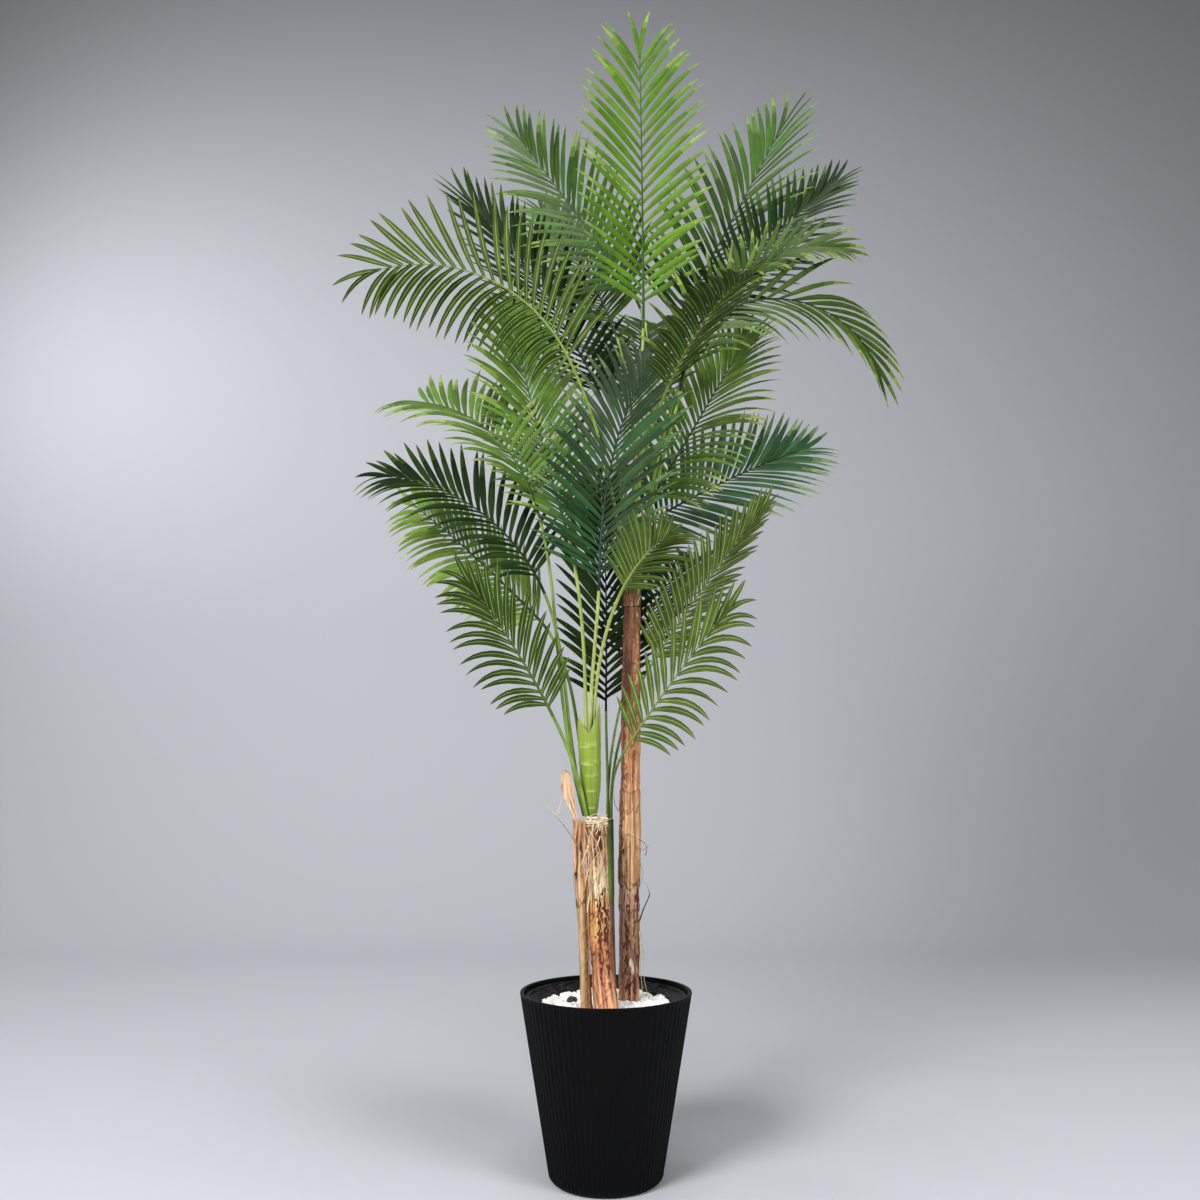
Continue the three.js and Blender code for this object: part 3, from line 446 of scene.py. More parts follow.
def growLeaflets(row, index, materials):
    # each leaflet starts on the rib and runs along its way, which gravity turns down by droop 1.6 v^1.75; it
    # is a folded strip of half width wide / 2 ((0.45 + 0.55 fade(v, 0, 0.36)) (1 - v^4)^0.85 + 0.03), its
    # edges dropped by the fold
    look, local = frondLook, np.random.default_rng(500 + index)
    uneven, pairs = look["uneven"], row["pairs"]
    hand = np.tile([-1.0, 1.0], pairs)
    share = np.repeat(((np.arange(pairs) + 0.5) / pairs) ** look["crowding"], 2)
    share = np.clip(share + hand * look["stagger"] / pairs, 0, 0.985)
    n = len(share)
    wobble = lambda key: local.uniform(-uneven[key], uneven[key], n)
    way, upper, side = bladeFrame(row, share)
    splay = mixed(*row["splay"], share) + wobble("splay")
    splay = np.radians(np.where(np.arange(n) >= n - 2, look["lastSplay"], splay))
    rise = np.radians(look["rise"] + wobble("rise"))
    out = side * (hand * np.cos(rise))[:, None] + upper * np.sin(rise)[:, None]
    start = way * np.cos(splay)[:, None] + out * np.sin(splay)[:, None]
    arch = splay[:, None] + math.radians(look["arch"]) * (2 * leafletStops - 1) * np.sqrt(share[:, None])
    swell = np.sin(np.pi * (0.14 + 0.76 * share))
    length = row["leaflet"] * mixed(look["shortest"], 1, swell)
    length = length * (1 - local.uniform(0, 2 * uneven["length"], n))
    droop = row["droop"] * (1 + wobble("droop")) + local.uniform(0, 0.12, n)
    droop = droop * (1 - look["upright"] * fade(start[:, 2], 0.1, 0.9))

    v = leafletStops
    pull = look["pull"][0] * v ** look["pull"][1]
    level = way[:, None, :] * np.cos(arch)[..., None] + out[:, None, :] * np.sin(arch)[..., None]
    turn = unit(level - upwards * (droop[:, None] * pull)[..., None])
    step = (turn[:, 1:] + turn[:, :-1]) / 2 * length[:, None, None] * np.diff(v)[None, :, None]
    line = np.concatenate([np.zeros((n, 1, 3)), np.cumsum(step, 1)], 1) + bladePoints(row, share)[:, None, :]
    across = unit(way - start * (way * start).sum(-1)[:, None])
    across = unit(across[:, None, :] - turn * (across[:, None, :] * turn).sum(-1)[..., None])
    top = np.cross(across, turn) * -hand[:, None, None]
    twist = np.radians(wobble("twist"))[:, None] * v + np.radians(wobble("turn"))[:, None]
    across, top = turned(across, top, -twist[..., None])

    half = row["wide"] / 2 * local.uniform(0.86, 1.08, n)
    half = half * (0.72 + 0.28 * fade(length / row["leaflet"], 0.45, 0.85))
    profile = (0.45 + 0.55 * fade(v, 0, 0.36)) * (1 - v ** 4) ** 0.85 + 0.03
    half = half[:, None] * profile
    thick = look["thick"] * (0.35 + 0.65 * profile)[None, :] * np.ones((n, 1))
    drop = half * 2 * look["fold"] * (1 - 0.5 * v)
    # ring: left edge, top, right edge, then the midrib's right, keel and left below
    ribHalf = half * 0.07 + 0.3
    acrossSteps = np.stack([-half, 0 * half, half, ribHalf, 0 * half, -ribHalf], -1)
    topSteps = np.stack([-drop, thick, -drop, -thick - 0.2 * drop, -thick * 2.4, -thick - 0.2 * drop], -1)
    points = ringPoints(line, across, top, acrossSteps, topSteps)
    # a right leaflet is a left one's mirror image: its ring runs the other way, so that it faces outwards
    right = hand > 0
    points[right] = points[right][:, :, ::-1]

    # materials: 0, 1 blade above, 2 near the tip, 3 tip, 4 underside, 5 midrib below
    stations, sides = len(v), len(leafletAcross)
    quad = np.arange(n * (stations - 1) * sides)
    leaf, station, place = quad // ((stations - 1) * sides), quad // sides % (stations - 1), quad % sides
    place = np.where(right[leaf], (4 - place) % sides, place)
    second = (local.uniform(0, 1, n) < look["second"]).astype(int)
    nearTip = local.integers(5, 8, n)
    tip = nearTip + local.integers(1, 3, n)
    kind = np.where(station >= tip[leaf], 3, np.where(station >= nearTip[leaf], 2, second[leaf]))
    kind = np.where(place >= 2, np.where((place == 2) | (place == 5), 4, 5), kind)
    kind = np.concatenate([kind, np.zeros(n, int), np.full(n, 3)])
    u = np.where(right[:, None], leafletAcross[::-1], leafletAcross)
    uv = np.stack(np.broadcast_arrays(u[:, None, :], v[None, :, None]), -1)
    return makeObject(row["name"] + "_leaflets", points * mm, tubeFaces(n, stations, sides), materials, kind,
                      uv, sharpAngle=75)


# Trunks

stemLines = {
    # x, y, z, radius in mm, from the foot in the cement to the top
    "front_trunk": [(3, -81, 205, 20), (0, -79, 284, 22), (-6, -71, 335, 19), (-12, -56, 450, 18),
                    (-16, -42, 545, 19), (-20, -36, 598, 19)],
    "left_trunk": [(-30, -61, 205, 10), (-33, -62, 284, 10.5), (-40, -62, 420, 9), (-46, -60, 540, 9.5),
                   (-49, -58, 596, 8.5)],
    "tall_trunk": [(38, 14, 205, 17), (40, 16, 284, 18), (42, 19, 440, 18), (44, 22, 640, 16.5),
                   (47, 26, 820, 16), (50, 30, 985, 15.5)],
    "green_cane": [(13, 69, 205, 6), (13, 68, 284, 6), (9, 64, 430, 6.5), (6, 62, 590, 8)],
}

# ridges: fibres round the stem and their height (mm); streak: strength of the dark streaks; peel: height of
# the torn sheaths; ragged: depth of the torn top. Steps: a sheath's torn edge, its height, how much wider the
# stem is above it and how wavy it is. Zones: height and colour of the bark, from the foot up. Patches:
# bearing and height of the middle, half width in degrees, half height, colour and how broken they are
trunkLook = {
    "front_trunk": dict(
        sides=150, rings=300, ridges=30, ridge=0.6, streak=0.9, peel=1.3, lobes=0.05, ragged=6, seed=3,
        steps=[(566, 1.3, 5), (470, -0.8, 14)],
        zones=[(284, 0xe0a880), (318, 0xc48a64), (372, 0x9c6240), (396, 0xbe8a52), (455, 0xd8a868),
               (480, 0xe6cca6), (520, 0xdab894), (548, 0xc49a74), (598, 0xb08660)],
        patches=[(288, 430, 34, 34, 0x3c1a10, 0.95), (300, 398, 17, 13, 0x4a1c12, 0.3),
                 (266, 394, 13, 15, 0x4a1c12, 0.35), (274, 358, 15, 36, 0x5a2618, 0.7),
                 (304, 356, 15, 38, 0x5a2618, 0.7), (292, 556, 24, 22, 0x54281a, 0.35),
                 (262, 530, 10, 22, 0x7a4428, 0.6), (300, 462, 5, 12, 0x3c1a10, 0.2),
                 (324, 520, 12, 30, 0x8a5436, 0.6), (290, 375, 8, 12, 0xc08a58, 0.2),
                 (288, 322, 9, 26, 0xd09a68, 0.7), (262, 480, 22, 14, 0xf0dcc0, 0.5),
                 (40, 430, 50, 60, 0x6a3c26, 0.7), (120, 500, 60, 50, 0x7a4c30, 0.7),
                 (190, 360, 30, 50, 0x6e4028, 0.7)]),
    "left_trunk": dict(
        sides=60, rings=190, ridges=20, ridge=0.4, streak=0.4, peel=0.7, lobes=0.04, ragged=20, seed=4,
        steps=[(452, 1.6, 9)],
        zones=[(284, 0xc09c70), (380, 0xc8a67a), (470, 0xcea880), (545, 0xd8ab86), (596, 0xc79a74)],
        patches=[(215, 500, 26, 7, 0x4a2c1c, 0.4), (205, 452, 20, 9, 0x5a3420, 0.4),
                 (310, 400, 28, 90, 0x8c6238, 0.7), (290, 545, 14, 20, 0x5c3822, 0.5),
                 (60, 400, 60, 70, 0x94683e, 0.7)]),
    "tall_trunk": dict(
        sides=130, rings=460, ridges=28, ridge=0.55, streak=0.8, peel=1.1, lobes=0.04, ragged=3, seed=5,
        steps=[(643, -1.4, 4), (480, 1.9, 10), (436, 0.8, 6), (880, -0.8, 5)],
        zones=[(284, 0xc4946e), (330, 0xb08064), (425, 0xae866a), (438, 0xc89c80), (474, 0xd2aa8c),
               (482, 0xbc9064), (560, 0xd6aa7e), (632, 0xc09068), (646, 0xcc966a), (730, 0xae7850),
               (800, 0x8a5c3c), (985, 0x7c5236)],
        patches=[(318, 452, 16, 30, 0x48241c, 0.55), (262, 400, 16, 30, 0x553024, 0.8),
                 (250, 352, 14, 36, 0x5a2c22, 0.8), (300, 385, 10, 34, 0x4e281e, 0.8),
                 (318, 340, 14, 40, 0xc09068, 0.8), (285, 395, 9, 30, 0xc09068, 0.8),
                 (268, 312, 12, 26, 0x4e281e, 0.8), (306, 305, 10, 22, 0x5a3222, 0.7),
                 (200, 560, 34, 90, 0x7c5030, 0.7), (212, 690, 30, 60, 0x8a5a3a, 0.7),
                 # painted light and shade: the dark patch at bearing 226 is the head's shaded left side, the
                 # pale one at 312 its lit right side
                 (226, 872, 34, 112, 0x4e3022, 0.5), (312, 850, 22, 100, 0xc8925e, 0.6),
                 (290, 700, 12, 40, 0x7a4a30, 0.6), (330, 860, 20, 60, 0x8c5c3c, 0.6),
                 (262, 930, 34, 30, 0x6a452c, 0.7), (60, 500, 60, 90, 0x7c5234, 0.7),
                 (120, 800, 60, 120, 0x8a5c3c, 0.7), (20, 350, 60, 40, 0x5a3828, 0.6),
                 (281, 346, 11, 9, 0xf6ece0, 0.3), (291, 335, 9, 10, 0xf6ece0, 0.4)]),
    "green_cane": dict(
        sides=28, rings=110, ridges=8, ridge=0.1, streak=0.3, peel=0.0, lobes=0.0, ragged=0, seed=6,
        steps=[(448, 0.4, 6)],
        zones=[(284, 0x7c5e4a), (440, 0x8a6c54), (456, 0x647632), (520, 0x6e8438), (590, 0x667a34)],
        patches=[(300, 380, 30, 30, 0x574436, 0.6)]),
}

# mm: from one torn sheath to the next, and the length of the fibres and of the fine ones between them
barkLook = {"sheath": 62, "fibre": 60, "fine": 22}
# the bark's patterns: how often each goes round the stem, its length up the stem (mm) and what its seed adds
barkNoise = {
    "patch": (6, 34, 20), "sheath": (7, 45, 30), "notch": (24, 9, 31), "streak": (48, 75, 70),
    "dash": (60, 18, 71), "broken": (54, 4.6, 50), "wave": (9, math.inf, 60), "ripple": (30, math.inf, 61),
}


def tonedMaterial(name, roughness, grain, long, depth, low=0.66, high=1.3):
    # the painted tone, lightened and darkened by fine threads that run up the piece; what it is made of
    # shows in its roughness and in how deep the threads are
    material, tree, place = newMaterial(name, 0x808080, roughness, ior=1.45)
    tone = addNode(tree, "Attribute", {"attribute_name": "tone"})
    thread = objectNoise(tree, place, grain, 5, (1, 1, long))
    factor = addNode(tree, "MapRange", {1: 0.3, 2: 0.7, 3: low, 4: high}, {0: thread})
    addNode(tree, "VectorMath", {"operation": "SCALE"}, {0: tone, "Scale": factor}, to="Base Color")
    addNode(tree, "Bump", {"Distance": depth, "Strength": 0.9}, {"Height": thread}, to="Normal")
    return material


def stemAt(name, z):
    # centre and radius between the named heights, straight from one to the next, softened by a short mean
    table = np.array(stemLines[name], float)
    near = np.clip(z[:, None] + np.array([-14, -7, 0, 7, 14]), table[0, 2], table[-1, 2])
    x, y, r = (np.interp(near, table[:, 2], table[:, k]).mean(1) for k in (0, 1, 3))
    return np.stack([x, y, z], -1), r


def zoneColours(zones, heights):
    # linear colour at each height, blended from one zone to the next
    levels = [z for z, colour in zones]
    tones = np.array([rgb(colour) for z, colour in zones])
    return np.stack([np.interp(heights, levels, tones[:, k]) for k in range(3)], -1)


def growTrunk(name, material):
    # radius = the line's radius (1 + lobes sin 3a) + ridges of long noise + torn sheaths, whose edge is a
    # saw of the height shifted by noise + the steps, less what the patches take off. Colour = the zones' at a
    # wavy height, with painted shade between the ridges, under the sheaths' edges and just below the steps,
    # with dark and pale streaks up the stem, and a patch's where (distance from its middle) (1 - 0.5 rough) +
    # rough (0.6 + noise) is below 1
    look = trunkLook[name]
    low, high = stemLines[name][1][2] - 24, stemLines[name][-1][2]
    z = np.linspace(low, high, look["rings"])
    centre, radius = stemAt(name, z)
    sides, seed, ridges = look["sides"], look["seed"], look["ridges"]
    zz, aa = np.meshgrid(z, ringAngles(sides), indexing="ij")
    turn = aa / (2 * np.pi)
    patterns = {"fibre": (ridges, barkLook["fibre"], 0), "fine": (2 * ridges, barkLook["fine"], 10)}
    patterns.update(barkNoise)
    noise = {key: valueNoise(turn * times, zz / long, seed + add, times)
             for key, (times, long, add) in patterns.items()}
    fibre, fine = noise["fibre"], noise["fine"]
    level = zz / barkLook["sheath"] + 0.6 * noise["sheath"] + 0.2 * noise["notch"]
    saw = level - np.floor(level)
    torn = look["peel"] * ((1 - saw) ** 2.5 - 0.3 + 0.4 * fade(noise["patch"], 0.1, 0.5))
    lobes = look["lobes"] * np.sin(3 * aa + 1.7 * (zz - low) / 90)
    tone = zoneColours(look["zones"], zz + 7 * noise["patch"] + 5 * fibre)
    # painted shade: darker where the bark sinks between the ridges, lighter where they stand out
    tone = tone * (0.86 + 0.2 * fibre + 0.12 * fine)[..., None]
    # painted shade just under the torn sheaths' edges
    tone = tone * (1 - 0.35 * fade(saw, 0.86, 1.0) * (look["peel"] > 0))[..., None]
    streak = noise["streak"] + 0.4 * noise["dash"]
    tone = mixed(tone, tone * (0.5, 0.33, 0.28), (look["streak"] * fade(streak, 0.2, 0.6))[..., None])
    tone = tone * (1 + 0.55 * look["streak"] * fade(-streak, 0.2, 0.7))[..., None]
    dent = 0 * zz
    for bearing, height, wide, tall, colour, rough in look["patches"]:
        reach = np.hypot(turnFrom(bearing, np.degrees(aa)) / wide, (zz - height) / tall) * (1 - 0.5 * rough)
        reach = reach + rough * (0.6 + 1.15 * noise["broken"] + 0.35 * fibre)
        share = 1 - fade(reach, 0.75, 1.0)
        tone = mixed(tone, rgb(colour) * (1 + 0.15 * fine)[..., None], share[..., None])
        dent = np.maximum(dent, share * (0.7 if colour < 0x900000 else -0.3))
    for height, wider, wavy in look["steps"]:
        edge = zz - height - wavy * (noise["wave"] + 0.5 * noise["ripple"])
        dent = dent - wider * (fade(edge, -0.6, 0.6) - 0.5)
        # painted shade in a band just below each step's edge
        tone = tone * (1 - 0.5 * np.exp(-(edge + 1.5) ** 2 / 4))[..., None]
    r = radius[:, None] * (1 + lobes) + look["ridge"] * (fibre + 0.5 * fine) + torn - dent
    top = high - look["ragged"] * np.abs(valueNoise(turn * 14, zz * 0 + 3, seed + 40, 14))
    points = circle(r, aa, np.minimum(zz, top), centre[:, :1], centre[:, 1:2])
    # the hollow top: a ring inside the rim and a floor below it, both painted darker as shade
    inner = points[-1].copy()
    inner[:, :2] = centre[-1, :2] + (inner[:, :2] - centre[-1, :2]) * 0.8
    deep = inner.copy()
    deep[:, 2] = high - look["ragged"] - 3
    points = np.concatenate([points, inner[None], deep[None]])
    tone = np.concatenate([tone, tone[-1:] * 0.7, tone[-1:] * 0.35])
    faces = tubeFaces(1, len(points), sides)
    return paint(makeObject(name + "_bark", points * mm, faces, [material], sharpAngle=70), tone)


flapLook = {
    "foot": (-49, -60, 584), "bearing": -37, "lean": 24, "tall": 92, "half": 12.5,  # mm, degrees
    "curl": (3.5, 3.0),      # mm of its bow at the foot, and what it gains
    "fray": 0.18,            # how uneven its edges are, as a share of its half width
    "pale": 0xe4bc98, "dark": 0x8a5636,
}


def growFlap(material):
    # a curled tongue of bark of half width half (0.42 + 0.58 fade(t, 0.1, 0.62)), narrower at the very top,
    # leaning off the stem by lean t^0.8, bowed by curl (1 - s^2) and frayed at its edges by noise
    look = flapLook
    t, s = np.linspace(0, 1, 34), np.linspace(-1, 1, 9)
    n = len(s)
    bearing = math.radians(look["bearing"])
    across = np.array([math.cos(bearing), math.sin(bearing), 0])
    through = np.array([-across[1], across[0], 0])
    x, y, z = look["foot"]
    centre = np.stack([x - look["lean"] * t ** 0.8, y + 0 * t, z + look["tall"] * t], -1)
    centre[:, 0] += 1.6 * np.sin(8 * t)
    half = (0.42 + 0.58 * fade(t, 0.1, 0.62)) * look["half"]
    half = half * (1 - 0.55 * fade(t, 0.93, 1.0))
    left = half * (1 + look["fray"] * valueNoise(t * 13, t * 0 + 2, 71))
    right = half * (1 + look["fray"] * valueNoise(t * 13, t * 0 + 4, 72))
    curl = look["curl"][0] + look["curl"][1] * fade(t, 0.3, 0.9)
    wide = np.where(s < 0, left[:, None], right[:, None]) * s
    dents = valueNoise(s * 4 + 9 + 0 * t[:, None], 6 * t[:, None] + 0 * s, 73)
    bow = curl[:, None] * (1 - s ** 2) + 0.5 * dents
    outer = centre[:, None, :] + across * wide[..., None] + through * bow[..., None]
    inner = outer - through * (0.3 + 1.0 * (1 - np.abs(s)))[None, :, None]
    points = np.concatenate([outer, inner[:, ::-1]], 1)
    ring = np.concatenate([s, s[::-1]])
    points[-1, :, 2] += 4 * valueNoise(ring * 5 + 6, np.zeros(2 * n), 74)
    streak = valueNoise(ring[None] * 6 + 9, t[:, None] * 3 + 0 * s[:1], 75)
    tone = mixed(rgb(look["pale"]), rgb(look["dark"]), fade(streak, 0.05, 0.8)[..., None])
    tone[:, :n] = tone[:, :n] * 0.6
    faces = tubeFaces(1, len(t), 2 * n)
    return paint(makeObject("bark_flap", points * mm, faces, [material], sharpAngle=70), tone)


def fibreMaterial(name, colour, second, stretch=(1, 1, 10)):
    # dry plant fibre: matte, with fine threads of a second tone
    return grained(name, colour, 0.8, (0.0012, 3, stretch), [(0.3, second), (0.65, colour)], (0.0003, 0.7),
                   ior=1.45)


def strands(name, lines, radii, materials, flat=0.45, kinds=None):
    # thin closed ribbons of five sides: line + across radius cos a - top flat radius sin a
    lines, radii, sides = np.array(lines), np.array(radii)[..., None], 5
    n, stations = lines.shape[:2]
    way = unit(np.gradient(lines, axis=1))
    across = unit(np.cross(way, unit(np.array([0.31, 0.2, 0.93])) + 0 * way))
    top = np.cross(across, way)
    a = ringAngles(sides)
    points = ringPoints(lines, across, top, np.cos(a) * radii, -np.sin(a) * radii * flat)
    if kinds is not None:
        kinds = np.concatenate([np.repeat(kinds, (stations - 1) * sides), kinds, kinds])
    return makeObject(name, points * mm, tubeFaces(n, stations, sides), materials, kinds, sharpAngle=80)


# Loose fibres and splinters of bark: the points each one passes through (mm), its radius at the foot and at
# the tip, and its tone, 0 pale, 1 brown, 2 dark, 3 torn bark
looseFibres = [
    ([(-37, -68, 590), (-36, -75, 560), (-38, -75, 530), (-36, -74, 488)], 4.6, 1.6, 3),
    ([(-50, -68, 584), (-54, -73, 556), (-52, -73, 526), (-54, -72, 505)], 4.4, 1.4, 3),
    ([(-22, -60, 586), (-25, -66, 560), (-21, -66, 532), (-24, -72, 505)], 4.2, 1.2, 0),
    ([(-6, -58, 588), (-8, -64, 566), (-4, -64, 545), (-8, -68, 520)], 3.4, 1.0, 3),
    ([(-30, -70, 500), (-28, -76, 470), (-32, -78, 440)], 3.2, 1.0, 0),
    ([(-33, -66, 496), (-31, -68, 450), (-29, -72, 400), (-28, -76, 340)], 3.4, 2.4, 1),
    ([(-14, -62, 532), (-12, -68, 508), (-17, -73, 480), (-12, -78, 450)], 3.0, 1.0, 0),
    ([(-32, -62, 548), (-30, -70, 520), (-33, -74, 492)], 3.4, 1.0, 0),
    ([(-4, -60, 512), (-2, -66, 490), (-5, -72, 462)], 2.4, 0.8, 0),
    ([(-12, -56, 590), (-16, -66, 604), (-28, -72, 600), (-40, -76, 592)], 1.6, 0.6, 0),
    ([(36, 2, 470), (34, -2, 440), (38, -2, 410)], 3.0, 1.0, 0),
    ([(-38, -74, 528), (-52, -79, 556), (-72, -82, 584), (-88, -83, 602)], 2.6, 1.0, 1),
    ([(-84, -83, 598), (-96, -84, 613), (-107, -84, 628)], 1.0, 0.3, 0),
    ([(-86, -82, 600), (-80, -84, 612), (-76, -84, 640)], 0.8, 0.25, 0),
    ([(-86, -82, 600), (-78, -86, 606), (-70, -86, 618)], 0.7, 0.25, 0),
    ([(-36, -76, 578), (-28, -86, 556), (-38, -88, 530), (-46, -82, 512)], 1.6, 0.6, 0),
    ([(-22, -80, 580), (-34, -86, 552), (-24, -90, 524), (-10, -84, 510)], 1.5, 0.5, 0),
    ([(-28, -80, 576), (-12, -84, 548), (-6, -84, 520), (-14, -88, 500)], 1.2, 0.4, 0),
    ([(-40, -74, 520), (-30, -84, 500), (-18, -88, 488), (-10, -86, 470)], 1.3, 0.5, 0),
    ([(-12, -80, 540), (-24, -88, 522), (-34, -86, 500), (-36, -84, 476)], 1.1, 0.4, 0),
    ([(-10, -76, 566), (-16, -84, 548), (-30, -88, 534), (-38, -86, 518)], 0.9, 0.4, 0),
    ([(-4, -72, 560), (-6, -80, 530), (-14, -86, 505), (-10, -86, 488)], 1.0, 0.4, 0),
    ([(-30, -80, 556), (-22, -88, 530), (-8, -86, 520)], 0.9, 0.3, 1),
    ([(-44, -72, 540), (-47, -76, 512), (-44, -76, 480)], 1.6, 0.5, 0),
    ([(-52, -66, 520), (-56, -70, 496), (-53, -71, 470)], 1.5, 0.5, 1),
    ([(58, 4, 412), (66, -2, 436), (78, -4, 462), (74, -6, 474)], 1.6, 0.6, 2),
    ([(74, -6, 474), (66, -6, 486), (60, -4, 492)], 0.8, 0.3, 1),
    ([(60, 8, 556), (70, 4, 550), (74, 2, 540), (70, 0, 528)], 1.3, 0.5, 2),
    ([(60, 8, 540), (68, 4, 538), (76, 2, 546)], 1.0, 0.4, 2),
    ([(60, 8, 520), (66, 5, 500), (62, 2, 478)], 1.4, 0.5, 1),
    ([(32, 2, 540), (25, -4, 524), (22, -6, 506), (26, -6, 492)], 2.0, 0.8, 2),
    ([(58, 6, 430), (62, 0, 390), (60, -4, 340), (64, -8, 292)], 1.7, 1.0, 0),
    ([(60, 8, 400), (66, 2, 360), (66, -2, 320), (74, -10, 288)], 1.5, 0.9, 0),
    ([(52, 2, 400), (46, -4, 372), (52, -6, 340), (62, -8, 318)], 1.1, 0.6, 0),
    ([(30, 2, 430), (40, -6, 412), (50, -6, 420), (64, -2, 428)], 0.6, 0.3, 0),
    ([(22, 50, 700), (16, 44, 712), (8, 40, 716)], 0.8, 0.3, 2),
    ([(22, 34, 606), (16, 26, 618), (14, 22, 634)], 1.0, 0.4, 2),
]


def growLoose(materials):
    # smooth lines through the given points, by even steps along straight pieces and a running mean
    count = 25
    lines, radii, kinds = [], [], []
    for path, first, last, kind in looseFibres:
        knots = np.array(path, float)
        s = np.linspace(0, len(knots) - 1, count)
        line = np.stack([np.interp(s, np.arange(len(knots)), knots[:, k]) for k in range(3)], -1)
        for _ in range(4):
            line[1:-1] = (line[:-2] + line[1:-1] * 2 + line[2:]) / 4
        lines.append(line)
        radii.append(np.linspace(first, last, count))
        kinds.append(kind)
    return strands("loose_fibres", lines, radii, materials, 0.4, kinds)


# Crownshaft, fibre head and tie

# Rings: x, y, z, radius (mm). Teeth: a point's bearing, height, half spread in degrees and how far it leans
# in (out, below 0). Bands: heights of the leaf scars, with the bearings of the pale marks on them
cups = {
    "crownshaft": dict(
        rings=[(-25, -36, 598.3, 9), (-26, -36, 625, 14), (-27, -36, 655, 18), (-30, -36, 740, 20.5)],
        steps=60, sides=72, floor=733, wall=1.6, ragged=0, teeth=[(205, 32, 75, 0), (335, 60, 70, 0.5)],
        bands=(612, 641, 667, 688, 690, 718, 722), markAt=(272, 266, 268, 262, 236, 240, 285), streak=0.13,
        zones=[(598, 0x5f7422), (622, 0x74892a), (690, 0x7f9430), (740, 0x879a3a), (772, 0x94a44c),
               (800, 0x9fae58)]),
    "fibre_sheath": dict(
        rings=[(50, 30, 985.3, 15.3), (50, 30, 1001, 16.8)],
        steps=12, sides=96, floor=990, wall=1.3, ragged=10,
        teeth=[(210, 16, 50, -3), (272, 20, 40, -3), (80, 14, 60, -3)], bands=(), markAt=(), streak=0.3,
        zones=[(985, 0x9a6c44), (1000, 0x7a5232), (1012, 0x4c3220), (1030, 0x2e1e14)]),
}
scarMark = 0xc9d484


def growCup(name, material):
    # outside rings from foot to mouth, a rim raised into points that fall as (1 - off / spread)^1.25, then
    # the inside down to the floor, painted darker as shade; leaf scars are small steps at their heights
    cup = cups[name]
    a = ringAngles(cup["sides"])
    turn, degrees = a / (2 * np.pi), np.degrees(a)
    table = np.array(cup["rings"], float)
    z = np.linspace(table[0, 2], table[-1, 2], cup["steps"])
    x, y, r = (np.interp(z, table[:, 2], table[:, k]) for k in (0, 1, 3))
    lift, lean = np.zeros_like(a), np.zeros_like(a)
    for bearing, height, spread, inward in cup["teeth"]:
        share = np.maximum(0, 1 - np.abs(turnFrom(bearing, degrees)) / spread)
        lift = np.maximum(lift, height * share ** 1.25)
        lean = np.where(share * inward != 0, -share * inward, lean)
    lift = lift + cup["ragged"] * (0.5 + 0.5 * valueNoise(turn * 24, turn * 0, 81, 24))
    scars = sum((fade(z, band - 1.2, band) * (1 - fade(z, band, band + 7)) for band in cup["bands"]), 0 * z)
    seam = 0.35 * np.sin(a * 2 + 0.6)[None, :] * fade(z, table[0, 2], table[-1, 2])[:, None]
    radius = (r + 0.5 * scars)[:, None] + seam + 0.12 * valueNoise(turn * 20, turn * 0 + 1, 83, 20)[None, :]
    mouth, rim = table[-1], radius[-1]
    # share of the points' height and of the wall: up the outside, then down the inside
    steps = [(0.35, 0), (0.7, 0), (1.0, 0), (1.0, 0.8), (0.5, 0.9), (0.0, 1.0)]
    edge = [circle((rim + lean) * t + rim * (1 - t) - cup["wall"] * wall, a, mouth[2] + lift * t, *mouth[:2])
            for t, wall in steps]
    floor = circle(rim - cup["wall"] - 0.4, a, cup["floor"], *mouth[:2])
    points = np.concatenate([circle(radius, a, z[:, None], x[:, None], y[:, None]), edge, [floor]])
    height = points[..., 2]
    streak = valueNoise(turn * 26 + 0 * height, height / 90, 84, 26)
    tone = zoneColours(cup["zones"], height) * (1 + cup["streak"] * streak)[..., None]
    mark = np.zeros_like(height)
    for band, bearing in zip(cup["bands"], cup["markAt"]):
        beside = fade(np.abs(turnFrom(bearing, degrees)), 22, 34)
        mark = np.maximum(mark, (1 - fade(np.abs(height - band), 0.7, 1.5)) * (1 - beside))
    tone = mixed(tone, rgb(scarMark), 0.5 * mark[..., None])
    # painted shade: the inside of the rim and the floor darker
    tone[-4:] = tone[-4:] * 0.75
    faces = tubeFaces(1, len(points), cup["sides"])
    return paint(makeObject(name + "_skin", points * mm, faces, [material], sharpAngle=60), tone)


tieLook = {
    "middle": (-19.2, -37.2), "height": 590, "radius": 21.2, "turns": 10, "pitch": 1.7,  # mm
    "thick": 2.1, "thin": 1.0,                 # radii of the fibre
    "thickTurns": (2, 5, 7),
    "ends": 60, "knotEnds": 42,                # loose ends, and how many of them are the knot's
    "knot": (268, 318), "beside": (200, 262),  # bearings
}


